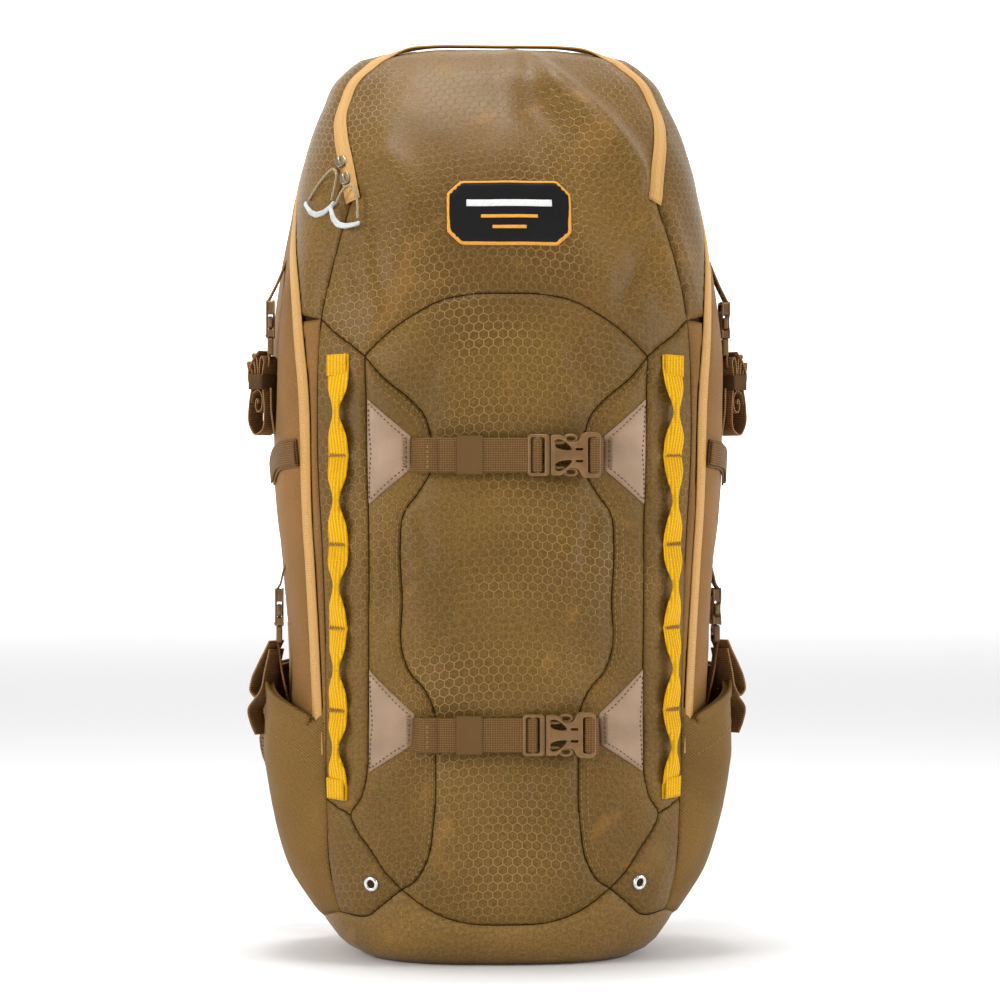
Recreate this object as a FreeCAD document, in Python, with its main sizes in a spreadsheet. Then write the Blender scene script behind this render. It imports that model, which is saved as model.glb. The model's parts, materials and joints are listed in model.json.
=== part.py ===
"""Hunting backpack: fabric shell, front pocket, zips, buckled straps, side pockets and harness.

Units are millimetres.  +Z is up, the front of the pack faces -Y and +X is to the right
seen from the front.  The origin is under the middle of the pack on the floor.
"""
import FreeCAD, Part
import math
import os
import Sketcher
from FreeCAD import Placement, Rotation, Vector

os.makedirs("parts", exist_ok=True)
doc = FreeCAD.newDocument("hunting_backpack")
sheet = doc.addObject("Spreadsheet::Sheet", "Sizes")

# Outline of the pack at each height: height, half width, reach forwards, reach backwards.
SECTIONS = [
    (0, 92, 105, 70), (7, 107, 119, 83), (22, 122, 129, 90), (55, 139, 135.5, 94),
    (120, 148, 140, 95), (200, 151, 144, 95), (285, 155.5, 147, 95), (375, 162, 148, 95),
    (460, 162, 142, 95), (530, 151, 129, 95), (580, 141, 108, 95), (620, 127, 78, 92),
    (648, 112, 48, 84), (660, 94, 28, 73), (665, 72, 10, 60),
]
POCKET_HALF = [(26, 130), (42, 142), (85, 158), (147, 171), (182, 169.5), (215, 168.5)]

SIZES = {
    "shell_thick": 2.5, "front_square": 2.6, "back_square": 4, "ring_points": 24,
    "base_top": 50, "lid_seam": 480, "side_seam": 118, "back_seam": 60,
    "pocket_proud": 6, "strip_proud": 1.5, "patch_proud": 1.3, "tape_proud": 1.6,
    "chain_proud": 9.8, "chain_gap": 8.2, "chain_wide": 16, "chain_waist": 7, "chain_offset": 118,
    "eyelet_outer": 5.5, "eyelet_hole": 2.75, "eyelet_offset": 94.5, "eyelet_level": 60,
    "cup_wall": 2, "cup_front": -90, "cup_back": 68, "cup_low": 186, "cup_high": 212,
    "webbing_wide": 24.4, "webbing_thick": 1.6, "running_gap": 0.3,
    "upper_level": 363.4, "lower_level": 166.8, "upper_mouth": 29.3, "lower_mouth": 26.3, "upper_sewn": 67.2, "lower_sewn": 64,
    "keeper_long": 18.5, "keeper_high": 27, "keeper_wall": 0.8, "keeper_centre": -27.75,
    "buckle_long": 35, "buckle_wide": 32, "buckle_thick": 8.4, "buckle_round": 4,
    "cavity_long": 25, "cavity_wide": 24, "cavity_high": 4.8,
    "window_long": 14, "window_start": 7, "bar_slot": 3.2, "bar_slot_at": 28.6,
    "frame_long": 16, "frame_wide": 29.5, "frame_thick": 6, "frame_slot": 3.6, "frame_round": 3,
    "prong_long": 20, "prong_wide": 4, "prong_high": 2.6,
    "arm_long": 19, "arm_wide": 3.2, "arm_high": 3.8, "arm_offset": 9.2,
    "button_long": 10, "button_wide": 4.6, "button_start": 9.5, "small_ratio": 0.78,
    "slider_long": 10, "slider_wide": 8, "slider_thick": 2.4, "slider_gap": 0.8,
    "cord_thick": 2, "grip_band": 4, "grip_thick": 2.4,
    "sheet_wide": 160, "sheet_high": 470, "sheet_thick": 1.5, "sheet_low": 80, "sheet_back": 86,
    "stay_wide": 12, "stay_thick": 3, "stay_long": 450, "stay_offset": 55,
    "pad_wide": 52, "pad_high": 220, "pad_thick": 18, "pad_round": 8, "pad_offset": 48,
    "lumbar_wide": 90, "lumbar_high": 130, "back_plane": 95.4,
    "strap_wide": 58, "strap_thick": 12, "strap_inner": 34, "harness_webbing": 25,
    "lifter_wide": 20, "handle_wide": 22, "handle_thick": 4, "handle_plane": 97,
    "wing_high": 80, "wing_thick": 12, "wing_low": 125, "hip_level": 165,
    "sternum_level": 430, "sternum_plane": 152, "sternum_wide": 20, "sternum_mouth": 1,
    "side_plane": 167.4, "side_along": -30, "side_upper": 451, "side_lower": 240,
    "roll_thick": 13, "roll_wide": 22, "roll_high": 36, "roll_level": 398, "roll_round": 5,
}
for k, row in enumerate(SECTIONS):
    SIZES.update(zip(("level_%d" % k, "half_%d" % k, "front_%d" % k, "back_%d" % k), row))
for k, row in enumerate(POCKET_HALF):
    SIZES.update(zip(("cup_level_%d" % k, "cup_half_%d" % k), row))

for row, (alias, size) in enumerate(SIZES.items(), 1):
    sheet.set("A%d" % row, alias)
    sheet.set("B%d" % row, str(size))
    sheet.setAlias("B%d" % row, alias)
doc.recompute()

made = []


def size(name):
    """Number held by the sheet under this name."""
    return float(sheet.get(name))


# ---------------------------------------------------------------- outlines and solids

def curve(points):
    """Straight edge through two points, smooth edge through more."""
    if len(points) == 2:
        return Part.LineSegment(*points).toShape()
    line = Part.BSplineCurve()
    line.interpolate(points)
    return line.toShape()


def prism(runs, plane, start, length):
    """Solid between two parallel planes; each run of the outline ends where the next begins."""
    lift = {
        "XY": lambda a, b: Vector(a, b, start),
        "XZ": lambda a, b: Vector(a, start, b),
        "YZ": lambda a, b: Vector(start, a, b),
    }[plane]
    along = {"XY": Vector(0, 0, length), "XZ": Vector(0, length, 0), "YZ": Vector(length, 0, 0)}
    wire = Part.Wire([curve([lift(*point) for point in run]) for run in runs])
    solid = Part.Face(wire).extrude(along[plane])
    return solid


def polygon(points):
    """Outline of straight runs through the points and back to the first."""
    return [[point, points[(k + 1) % len(points)]] for k, point in enumerate(points)]


def ribbon(points, thick):
    """Outline of an even band whose middle runs through the points."""
    sides = ([], [])
    for k, (a, b) in enumerate(points):
        before = points[max(k - 1, 0)]
        after = points[min(k + 1, len(points) - 1)]
        run = math.hypot(after[0] - before[0], after[1] - before[1])
        across = (-(after[1] - before[1]) / run, (after[0] - before[0]) / run)
        for side, sign in zip(sides, (1, -1)):
            side.append((a + sign * across[0] * thick / 2, b + sign * across[1] * thick / 2))
    near, far = sides[0], sides[1][::-1]
    return [near, [near[-1], far[0]], far, [far[-1], near[0]]]


def block(low, high):
    """Box between two corners."""
    return Part.makeBox(high[0] - low[0], high[1] - low[1], high[2] - low[2], Vector(*low))


def mirrored(shape):
    """The same shape on the other side of the pack."""
    return shape.mirror(Vector(0, 0, 0), Vector(1, 0, 0))


def ring(level, half, front, back):
    """Closed outline of the pack at one height: rounded in front, squarer behind."""
    points = []
    count = int(size("ring_points"))
    for k in range(count):
        turn = math.pi / 2 + 2 * math.pi * k / count
        across, along = math.cos(turn), math.sin(turn)
        power = 2 / (size("front_square") if along < 0 else size("back_square"))
        x = half * math.copysign(abs(across) ** power, across)
        y = (back + front) / 2 * math.copysign(abs(along) ** power, along)
        points.append(Vector(x, (back - front) / 2 + y, level))
    line = Part.BSplineCurve()
    line.interpolate(Points=points, PeriodicFlag=True)
    return Part.Wire([line.toShape()])


hulls = {}


def hull(grow):
    """The whole pack as one solid, grown (or shrunk) by this much on every side."""
    if grow not in hulls:
        rings = []
        last = len(SECTIONS) - 1
        for k in range(len(SECTIONS)):
            level, half, front, back = (size(name % k) for name in ("level_%d", "half_%d", "front_%d", "back_%d"))
            level += {0: max(-grow, 0), last: grow}.get(k, 0)
            rings.append(ring(level, half + grow, front + grow, back + grow))
        hulls[grow] = Part.makeLoft(rings, True, False)
    return hulls[grow]


def skin(inner, outer, prism_solid):
    """Piece of cloth lying on the pack between two offsets, cut to a prism."""
    return hull(outer).common(prism_solid).cut(hull(inner))


def front_y(x, level, grow):
    """Where the front of the grown pack is, at this x and height."""
    ray = Part.LineSegment(Vector(x, -400, level), Vector(x, -20, level)).toShape()
    return ray.common(hull(grow)).BoundBox.YMin


def side_point(y, level, grow):
    """Point on the left side of the grown pack, at this y and height."""
    ray = Part.LineSegment(Vector(-400, y, level), Vector(0, y, level)).toShape()
    return Vector(ray.common(hull(grow)).BoundBox.XMin, y, level)


# ---------------------------------------------------------------- document objects

def keep(label, *shapes, place=None):
    """Put finished shapes in the document as one named piece."""
    piece = doc.addObject("Part::Feature", label)
    solids = [solid for shape in shapes for solid in shape.Solids]
    piece.Shape = solids[0] if len(solids) == 1 else Part.makeCompound(solids)
    if place:
        piece.Placement = place
    made.append(piece)
    return piece


def new_body(label):
    """PartDesign body that is one named piece."""
    body = doc.addObject("PartDesign::Body", label)
    made.append(body)
    return body


def sketch_on(body, role):
    """Empty sketch on one of the body's own origin planes."""
    sketch = body.newObject("Sketcher::SketchObject", body.Label + "_outline")
    plane = next(item for item in body.Origin.OriginFeatures if item.Role == role)
    sketch.AttachmentSupport = (plane, [""])
    sketch.MapMode = "FlatFace"
    return sketch


def rectangle(sketch, wide, high, left, low):
    """Rectangle in a sketch; its sizes and its lower left corner follow the sheet."""
    w, h, a, b = (sketch.evalExpression(text) for text in (wide, high, left, low))
    first = sketch.GeometryCount
    corners = [Vector(a, b, 0), Vector(a + w, b, 0), Vector(a + w, b + h, 0), Vector(a, b + h, 0)]
    for k in range(4):
        sketch.addGeometry(Part.LineSegment(corners[k], corners[(k + 1) % 4]), False)
    for k in range(4):
        sketch.addConstraint(Sketcher.Constraint("Coincident", first + k, 2, first + (k + 1) % 4, 1))
        sketch.addConstraint(Sketcher.Constraint("Vertical" if k % 2 else "Horizontal", first + k))
    drives = [
        (("DistanceX", first, 1, first, 2, w), wide),
        (("DistanceY", first + 1, 1, first + 1, 2, h), high),
        (("DistanceX", -1, 1, first, 1, a), left),
        (("DistanceY", -1, 1, first, 1, b), low),
    ]
    for facts, text in drives:
        index = sketch.addConstraint(Sketcher.Constraint(*facts))
        sketch.setExpression("Constraints[%d]" % index, text)


def step(body, kind, role, length, rectangles):
    """Pad or pocket of rectangles, half of its length on each side of the plane."""
    sketch = sketch_on(body, role)
    for facts in rectangles:
        rectangle(sketch, *facts)
    feature = body.newObject("PartDesign::" + kind, body.Label + "_" + kind.lower())
    feature.Profile = sketch
    feature.SideType = "Symmetric"
    feature.setExpression("Length", length)
    sketch.Visibility = False
    doc.recompute()
    return feature


def round_edges(body, feature, direction, radius):
    """Fillet of every edge of the feature that runs in one direction."""
    names = []
    for k, edge in enumerate(feature.Shape.Edges, 1):
        run = edge.Vertexes[-1].Point - edge.Vertexes[0].Point
        if run.Length > 0 and run.normalize().cross(direction).Length < 0.01:
            names.append("Edge%d" % k)
    fillet = body.newObject("PartDesign::Fillet", body.Label + "_rounding")
    fillet.Base = (feature, names)
    fillet.setExpression("Radius", radius)
    doc.recompute()
    return fillet


def plate(label, wide, high, thick, radius, place):
    """Rounded plate, centred: wide along x, high along z, thick along y."""
    body = new_body(label)
    centred = (wide, high, "-(%s) / 2" % wide, "-(%s) / 2" % high)
    pad = step(body, "Pad", "XZ_Plane", thick, [centred])
    round_edges(body, pad, Vector(0, 1, 0), radius)
    body.Placement = place
    return body


def shape_of(body):
    """Finished shape of a helper body, which then leaves the document."""
    shape = body.Shape.copy()
    made.remove(body)
    return shape


# ---------------------------------------------------------------- side-release buckles
# Local frame: the plug goes in along +x, its width is along y and its thickness along z.

def buckle_body(label, ratio, place):
    """Outer half: tube with two side windows for the buttons and a bar for the webbing."""
    def scaled(name):
        return "Sizes.%s * %s" % (name, ratio)
    body = new_body(label)
    wide = scaled("buckle_wide")
    pad = step(body, "Pad", "XY_Plane", scaled("buckle_thick"),
               [(scaled("buckle_long"), wide, "0", "-(%s) / 2" % wide)])
    round_edges(body, pad, Vector(0, 0, 1), scaled("buckle_round"))
    cavity = scaled("cavity_wide")
    step(body, "Pocket", "XY_Plane", scaled("cavity_high"),
         [("%s + 1" % scaled("cavity_long"), cavity, "-1", "-(%s) / 2" % cavity)])
    step(body, "Pocket", "XY_Plane", scaled("cavity_high"),
         [(scaled("window_long"), "%s + 2" % wide, scaled("window_start"), "-(%s) / 2 - 1" % wide)])
    slot = "Sizes.webbing_wide * %s + 0.6" % ratio
    step(body, "Pocket", "XY_Plane", "%s + 2" % scaled("buckle_thick"),
         [(scaled("bar_slot"), slot, scaled("bar_slot_at"), "-(%s) / 2" % slot)])
    body.Placement = place
    return body


def buckle_plug(label, ratio, place, with_arms):
    """Inner half: ladder frame for the webbing, middle prong and (if wanted) both arms."""
    def scaled(name):
        return "Sizes.%s * %s" % (name, ratio)
    body = new_body(label)
    wide = scaled("frame_wide")
    end = "-(%s) - Sizes.running_gap" % scaled("frame_long")
    pad = step(body, "Pad", "XY_Plane", scaled("frame_thick"),
               [(scaled("frame_long"), wide, end, "-(%s) / 2" % wide)])
    round_edges(body, pad, Vector(0, 0, 1), scaled("frame_round"))
    slot = "Sizes.webbing_wide * %s + 0.6" % ratio
    step(body, "Pocket", "XY_Plane", "%s + 2" % scaled("frame_thick"),
         [(scaled("frame_slot"), slot, "%s + 2.2" % end, "-(%s) / 2" % slot),
          (scaled("frame_slot"), slot, "%s + 4.6 + %s" % (end, scaled("frame_slot")), "-(%s) / 2" % slot)])
    prong = scaled("prong_wide")
    step(body, "Pad", "XY_Plane", scaled("prong_high"),
         [("%s + 1" % scaled("prong_long"), prong, "-1", "-(%s) / 2" % prong)])
    if with_arms:
        high = scaled("arm_high")
        arm = scaled("arm_wide")
        inner = "%s - (%s) / 2" % (scaled("arm_offset"), arm)
        button = scaled("button_wide")
        outer = "%s + %s" % (inner, arm)
        step(body, "Pad", "XY_Plane", high,
             [("%s + 1" % scaled("arm_long"), arm, "-1", inner),
              ("%s + 1" % scaled("arm_long"), arm, "-1", "-(%s)" % outer)])
        step(body, "Pad", "XY_Plane", high,
             [(scaled("button_long"), button, scaled("button_start"), outer + " - 0.2"),
              (scaled("button_long"), button, scaled("button_start"),
               "-(%s) - %s + 0.2" % (outer, button))])
    body.Placement = place
    return body


def buckle_arm(label, side, place):
    """One sprung arm with its button; `side` is 1 for the upper arm and -1 for the lower."""
    body = new_body(label)
    inner = "Sizes.arm_offset - Sizes.arm_wide / 2"
    outer = "Sizes.arm_offset + Sizes.arm_wide / 2"
    spots = {
        1: (inner, outer + " - 0.2"),
        -1: ("-(%s)" % outer, "-(%s) - Sizes.button_wide + 0.2" % outer),
    }[side]
    step(body, "Pad", "XY_Plane", "Sizes.arm_high",
         [("Sizes.arm_long - 0.6", "Sizes.arm_wide", "0.6", spots[0])])
    step(body, "Pad", "XY_Plane", "Sizes.arm_high",
         [("Sizes.button_long", "Sizes.button_wide", "Sizes.button_start", spots[1])])
    body.Placement = place
    return body


# ---------------------------------------------------------------- shell

shell = hull(0).cut(hull(-size("shell_thick")))
base_top, lid_seam = size("base_top"), size("lid_seam")
side_seam, back_seam = size("side_seam"), size("back_seam")
keep("base_panel", shell.common(block((-300, -300, -1), (300, 300, base_top))))
keep("back_panel", shell.common(block((-300, back_seam, base_top), (300, 300, 700))))
side = shell.common(block((side_seam, -300, base_top), (300, back_seam, lid_seam)))
keep("side_panel_right", side)
keep("side_panel_left", mirrored(side))
keep("front_panel", shell.common(block((-side_seam, -300, base_top), (side_seam, back_seam, lid_seam))))
keep("lid_panel", shell.common(block((-300, -300, lid_seam), (300, back_seam, 700))))

# ---------------------------------------------------------------- pieces sewn on the front

contour = [(100.5, 434), (88, 419), (70, 404), (59, 392), (55, 381), (54.5, 352), (63, 337),
           (73, 322.5), (75.5, 300), (74, 262), (74, 225), (69, 211), (58, 198), (51.5, 183),
           (50.5, 153), (52, 102), (56, 78), (65, 62), (74, 56)]
other_side = [(-x, z) for x, z in contour[::-1]]
arch = [(-100.5, 434), (-85, 449), (-46, 473), (0, 478), (46, 473), (85, 449), (100.5, 434)]
hem = [(74, 56), (42, 35), (0, 31), (-42, 35), (-74, 56)]
pocket_prism = prism([arch, contour, hem, other_side], "XZ", -300, 280)
keep("front_pocket", skin(0, size("pocket_proud"), pocket_prism))

strip = prism([[(99, 434), (119, 449), (131, 461)], [(131, 461), (134, 380), (129, 262), (127, 118)],
               [(127, 118), (112, 110)], [(112, 110), (101, 128), (99, 160)], [(99, 160), (99, 434)]],
              "XZ", -300, 280)
strip_right = skin(0, size("strip_proud"), strip)
keep("strip_panels", strip_right, mirrored(strip_right))

patches = []
for corners in (((98, 403), (68, 377), (68, 353.5), (97, 329)),
                ((96.5, 211.5), (65, 181), (66.5, 159), (96.5, 139))):
    patch = skin(0, size("patch_proud"), prism(polygon(corners), "XZ", -300, 280))
    patches += [patch, mirrored(patch)]
keep("leather_patches", *patches)

label_outline = [(-41, 521), (-32, 512.5), (36, 512.5), (45, 521),
                 (45, 548), (36, 556.5), (-32, 556.5), (-41, 548)]
keep("label_patch", skin(0, size("patch_proud"), prism(polygon(label_outline), "XZ", -300, 280)))

eyelets = []
for x in (-size("eyelet_offset"), size("eyelet_offset")):
    foot = Vector(x, -300, size("eyelet_level"))
    collar = Part.makeCylinder(size("eyelet_outer"), 260, foot, Vector(0, 1, 0))
    hole = Part.makeCylinder(size("eyelet_hole"), 260, foot, Vector(0, 1, 0))
    eyelets.append(skin(0, size("patch_proud"), collar.cut(hole)))
keep("drain_eyelets", *eyelets)

bartacks = [424.8, 363.6, 300.7, 241.3, 182.6, 129.5]
middle = size("chain_offset")
near_side, far_side = [], []
for k, level in enumerate(bartacks):
    ends = {0: (level + 5, level - 4), len(bartacks) - 1: (level + 4, level - 5)}.get(k, (level + 4, level - 4))
    for z in ends:
        near_side.append((middle - size("chain_wide") / 2, z))
        far_side.append((middle + size("chain_wide") / 2, z))
    if k + 1 < len(bartacks):
        waist = (level + bartacks[k + 1]) / 2
        near_side.append((middle - size("chain_waist") / 2, waist))
        far_side.append((middle + size("chain_waist") / 2, waist))
chain = hull(size("chain_proud")).common(prism(polygon(near_side + far_side[::-1]), "XZ", -300, 280))
gaps = [block((100, -300, low + 5), (140, -20, high - 5)) for high, low in zip(bartacks, bartacks[1:])]
chain = chain.cut(hull(size("chain_gap")).common(Part.makeCompound(gaps)))
chain = chain.cut(hull(size("strip_proud")))
keep("daisy_chains", chain, mirrored(chain))

# ---------------------------------------------------------------- zips

zip_prism = prism(ribbon([(-104, 545), (-84, 574), (-66, 594), (-45, 615), (-30, 633),
                          (-14, 652), (-8, 666), (-8, 690)], 11), "YZ", -300, 600)
keep("lid_zip", skin(0, size("tape_proud"), zip_prism))
zip_prism = prism(ribbon([(-97, 196), (-99, 300), (-98, 430), (-82, 480), (-50, 525),
                          (-5, 575), (30, 625), (43, 655), (44, 690)], 11), "YZ", -300, 600)
keep("main_zip", skin(0, size("tape_proud"), zip_prism))

# ---------------------------------------------------------------- side pockets

def cup_loft(shrink):
    """Bulging solid of the side pockets, from the floor seam up past their mouths."""
    rings = []
    for k in range(len(POCKET_HALF)):
        level = size("cup_level_%d" % k)
        rings.append(ring(level, size("cup_half_%d" % k) - shrink, 141 - shrink, 96 - shrink))
    return Part.makeLoft(rings, True, False)


cup_front, cup_back, wall = size("cup_front"), size("cup_back"), size("cup_wall")
outside = polygon([(cup_front, 26), (cup_back, 26), (cup_back, size("cup_high")), (cup_front, size("cup_low"))])
inside = polygon([(cup_front + wall, 50), (cup_back - wall, 50), (cup_back - wall, 230), (cup_front + wall, 230)])
cup = cup_loft(0).common(prism(outside, "YZ", 100, 120))
cup = cup.cut(hull(0)).cut(cup_loft(wall).common(prism(inside, "YZ", 90, 140)))
keep("side_pocket_right", cup)
keep("side_pocket_left", mirrored(cup))

# ---------------------------------------------------------------- front straps and their buckles

half_web = size("webbing_wide") / 2
thick = size("webbing_thick")
anchors = []
buckle_bodies = []
for name, level, mouth in (("upper", size("upper_level"), size("upper_mouth")),
                           ("lower", size("lower_level"), size("lower_mouth"))):
    surface = front_y(0, level, size("pocket_proud"))
    core = surface - size("running_gap") - size("buckle_thick") / 2
    left_end, right_end = front_y(-64, level, 0), front_y(67, level, 0)
    frame_end = mouth - size("frame_long") - 2 * size("running_gap")
    web = polygon([(frame_end, core - thick), (-54, core - thick), (-67.5, left_end + 4),
                   (-64, left_end + 4), (-52, core + thick), (frame_end, core + thick)])
    keep("front_strap_" + name, prism(web, "XY", level - half_web, 2 * half_web).cut(hull(0)))
    bar = mouth + size("buckle_long")
    sewn = size(name + "_sewn")
    web = polygon([(bar + 0.2, core - thick / 2), (sewn, right_end + 4),
                   (sewn - 2.2, right_end + 4), (bar + 0.2, core + thick)])
    anchors.append(prism(web, "XY", level - half_web, 2 * half_web).cut(hull(0)))

    keeper = new_body("keeper_" + name)
    high, deep = "Sizes.keeper_high", "2 * (Sizes.webbing_thick + Sizes.keeper_wall + 0.5)"
    inner_high, inner_deep = "(%s - 2 * Sizes.keeper_wall)" % high, "(%s - 2 * Sizes.keeper_wall)" % deep
    step(keeper, "Pad", "YZ_Plane", "Sizes.keeper_long",
         [(deep, high, "-(%s) / 2" % deep, "-(%s) / 2" % high),
          (inner_deep, inner_high, "-(%s) / 2" % inner_deep, "-(%s) / 2" % inner_high)])
    keeper.Placement = Placement(Vector(size("keeper_centre"), core, level), Rotation())

    # buckle x stays along X, its width is turned up to Z and its thickness to -Y
    place = Placement(Vector(mouth, core, level), Rotation(Vector(1, 0, 0), 90))
    buckle_bodies.append(shape_of(buckle_body(name + "_buckle_body", "1", place)))
    buckle_plug("plug_" + name, "1", place, False)
    buckle_arm("plug_%s_arm_top" % name, 1, place)
    buckle_arm("plug_%s_arm_bottom" % name, -1, place)
keep("front_anchor_straps", *anchors)
keep("front_buckle_bodies", *buckle_bodies)

# ---------------------------------------------------------------- zip sliders, pull cords and grips

def slider(label, place):
    """Zip slider: plate with a bridge over it; x along the zip, z away from the pack."""
    body = new_body(label)
    long, wide = "Sizes.slider_long", "Sizes.slider_wide"
    plate_pad = step(body, "Pad", "XY_Plane", "Sizes.slider_thick",
                     [(long, wide, "-(%s) / 2" % long, "-(%s) / 2" % wide)])
    round_edges(body, plate_pad, Vector(0, 0, 1), "Sizes.slider_wide / 4")
    step(body, "Pad", "XZ_Plane", "2",
         [("6", "Sizes.slider_thick", "-3", "Sizes.slider_thick / 2 - 0.2")])
    body.Placement = place
    return body


def tangent_place(y, level, run, lift):
    """Placement on the left side of the pack: x along `run` = (dy, dz), z away from the pack."""
    here = side_point(y, level, size("tape_proud"))
    ahead = side_point(y + run[0], level + run[1], size("tape_proud")) - here
    across = side_point(y - run[1], level + run[0], size("tape_proud")) - here
    away = ahead.cross(across).normalize()
    if away.x > 0:
        away = -away
    ahead.normalize()
    return Placement(here + away * lift, Rotation(ahead, away.cross(ahead), away, "XZY"))


def tube(points, radius_of_cord):
    """Round cord along straight runs joined by tangent arcs."""
    edges = []
    start = points[0]
    for before, here, after in zip(points, points[1:], points[2:]):
        back, on = (before - here).normalize(), (after - here).normalize()
        shorter = min((before - here).Length, (after - here).Length)
        half_turn = (math.pi - back.getAngle(on)) / 2
        reach = 0.45 * shorter
        print("cord bend radius %.1f" % (reach / math.tan(half_turn)))
        tip = (back + on).normalize()
        bend = reach / math.tan(half_turn)
        middle_point = here + tip * (bend / math.cos(half_turn) - bend)
        edges.append(Part.LineSegment(start, here + back * reach).toShape())
        edges.append(Part.Arc(here + back * reach, middle_point, here + on * reach).toShape())
        start = here + on * reach
    edges.append(Part.LineSegment(start, points[-1]).toShape())
    path = Part.Wire(edges)
    profile = Part.Wire([Part.Circle(points[0], points[1] - points[0], radius_of_cord).toShape()])
    solid = path.makePipeShell([profile], True, False)
    print("cord volume %.1f, expected %.1f" % (solid.Volume, path.Length * math.pi * radius_of_cord ** 2))
    return solid


lift = size("slider_gap") + size("slider_thick") / 2
for name, spot, run in (("upper", (-84, 574), (9, 10)), ("lower", (-93.5, 561), (9, 12))):
    slider("lid_slider_" + name, tangent_place(spot[0], spot[1], run, lift))

# Each cord starts at one end of its grip, folds at the slider and comes back to the other end.
CORDS = {
    "upper": [(-139.5, -72.8, 548.5), (-135, -76.8, 556.5), (-128.5, -82.3, 565), (-122.4, -87.6, 570.6),
              (-119.6, -92.5, 567.2), (-120.2, -94.9, 560.5), (-121.8, -95.7, 553.5), (-123.4, -96.5, 546.6)],
    "lower": [(-120.6, -106.2, 542.6), (-118, -105.1, 549.4), (-114.6, -104.8, 554.6), (-110.4, -104.7, 557),
              (-107.2, -108.1, 554.2), (-105.6, -112, 548), (-105, -115.8, 540), (-105.4, -119, 532)],
}
GRIP_FACES = {"upper": Vector(-0.62, -0.76, 0.18), "lower": Vector(-0.52, -0.8, 0.3)}
for name, points in CORDS.items():
    points = [Vector(*point) for point in points]
    keep("pull_cord_" + name, tube(points, size("cord_thick") / 2))
    first, last = points[0], points[-1]
    across = (last - first).normalize()
    away = GRIP_FACES[name]
    away = (away - across * away.dot(across)).normalize()
    down = away.cross(across)
    if down.z > 0:
        down = -down
    frame = Placement((first + last) * 0.5, Rotation(across, down, across.cross(down), "XYZ"))
    half_span = (last - first).Length / 2
    smile = [(-half_span - 2, 2.4), (-half_span * 0.5, 9), (0, 11), (half_span * 0.5, 9), (half_span + 2, 2.4)]
    grip = prism(ribbon(smile, size("grip_band")), "XY", -size("grip_thick") / 2, size("grip_thick"))
    keep("pull_grip_" + name, grip, place=frame)

top = size("level_%d" % (len(SECTIONS) - 1)) + size("tape_proud")
for name, x in (("left", -14), ("right", 14)):
    slider("main_slider_" + name, Placement(Vector(x, 44, top + lift), Rotation()))

# ---------------------------------------------------------------- side straps and their buckles

def side_webbing(points):
    """Narrow webbing on the right side of the pack, its middle through the (x, z) points."""
    wide = size("sternum_wide")
    return prism(ribbon(points, thick), "XZ", size("side_along") - wide / 2, wide).cut(hull(0))


plane, ratio = size("side_plane"), size("small_ratio")
bodies = []
straps = []
for name, level in (("upper", size("side_upper")), ("lower", size("side_lower"))):
    inset = 0 if name == "upper" else 6.5
    # the plug goes in upwards, the width is along Y and the thickness is along X
    turn = Rotation(Vector(0, 0, 1), Vector(0, 1, 0), Vector(-1, 0, 0), "XYZ")
    place = Placement(Vector(plane - inset, size("side_along"), level), turn)
    mate = Placement(Vector(-plane + inset, size("side_along"), level), turn)
    for part_side, spot in (("right", place), ("left", mate)):
        bodies.append(shape_of(buckle_body("side_body_%s_%s" % (name, part_side), "Sizes.small_ratio", spot)))
        buckle_plug("side_plug_%s_%s" % (name, part_side), "Sizes.small_ratio", spot, True)
    over = level + ratio * size("buckle_long") + 0.3
    under = level - ratio * size("frame_long") - 1
    if name == "upper":
        straps.append(side_webbing([(plane, over), (plane - 4, over + 10), (plane - 11, over + 26)]))
        straps.append(side_webbing([(plane, under), (plane - 1.5, under - 20), (plane - 3, 368)]))
    else:
        straps.append(side_webbing([(plane - inset, over), (plane - 9, over + 10), (plane - 13, over + 26)]))
        straps.append(side_webbing([(plane - inset, under), (plane - 8.5, under - 24), (plane - 12, under - 66)]))
forward = block((100, -91, 353), (220, size("side_along") - 12, 376))
straps.append(skin(0, size("tape_proud"), forward))
roll_place = Placement(Vector(plane + 6, size("side_along"), size("roll_level")), Rotation())
straps.append(shape_of(plate("roll", "Sizes.roll_thick", "Sizes.roll_high", "Sizes.roll_wide",
                             "Sizes.roll_round", roll_place)))
keep("side_straps", *straps, *[mirrored(strap) for strap in straps])
keep("side_buckle_bodies", *bodies)

# ---------------------------------------------------------------- frame and back

centre = Vector(0, size("sheet_back"), size("sheet_low") + size("sheet_high") / 2)
plate("frame_sheet", "Sizes.sheet_wide", "Sizes.sheet_high", "Sizes.sheet_thick", "10", Placement(centre, Rotation()))
stays = []
for x in (-size("stay_offset"), size("stay_offset")):
    deep = centre.y - (size("sheet_thick") + size("stay_thick")) / 2 - 0.1
    spot = Placement(Vector(x, deep, centre.z), Rotation())
    stays.append(shape_of(plate("stay", "Sizes.stay_wide", "Sizes.stay_long", "Sizes.stay_thick", "5", spot)))
keep("frame_stays", *stays)

pads = []
deep = size("back_plane") + size("pad_thick") / 2
for label, x, level, wide, high in (("pad_left", -48, 415, "pad_wide", "pad_high"),
                                    ("pad_right", 48, 415, "pad_wide", "pad_high"),
                                    ("pad_lumbar", 0, 185, "lumbar_wide", "lumbar_high")):
    spot = Placement(Vector(x, deep, level), Rotation())
    pads.append(shape_of(plate(label, "Sizes." + wide, "Sizes." + high, "Sizes.pad_thick", "Sizes.pad_round", spot)))
clear_of_pack = hull(size("running_gap"))
keep("back_pads", *[pad.cut(clear_of_pack) for pad in pads])

# ---------------------------------------------------------------- harness

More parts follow.
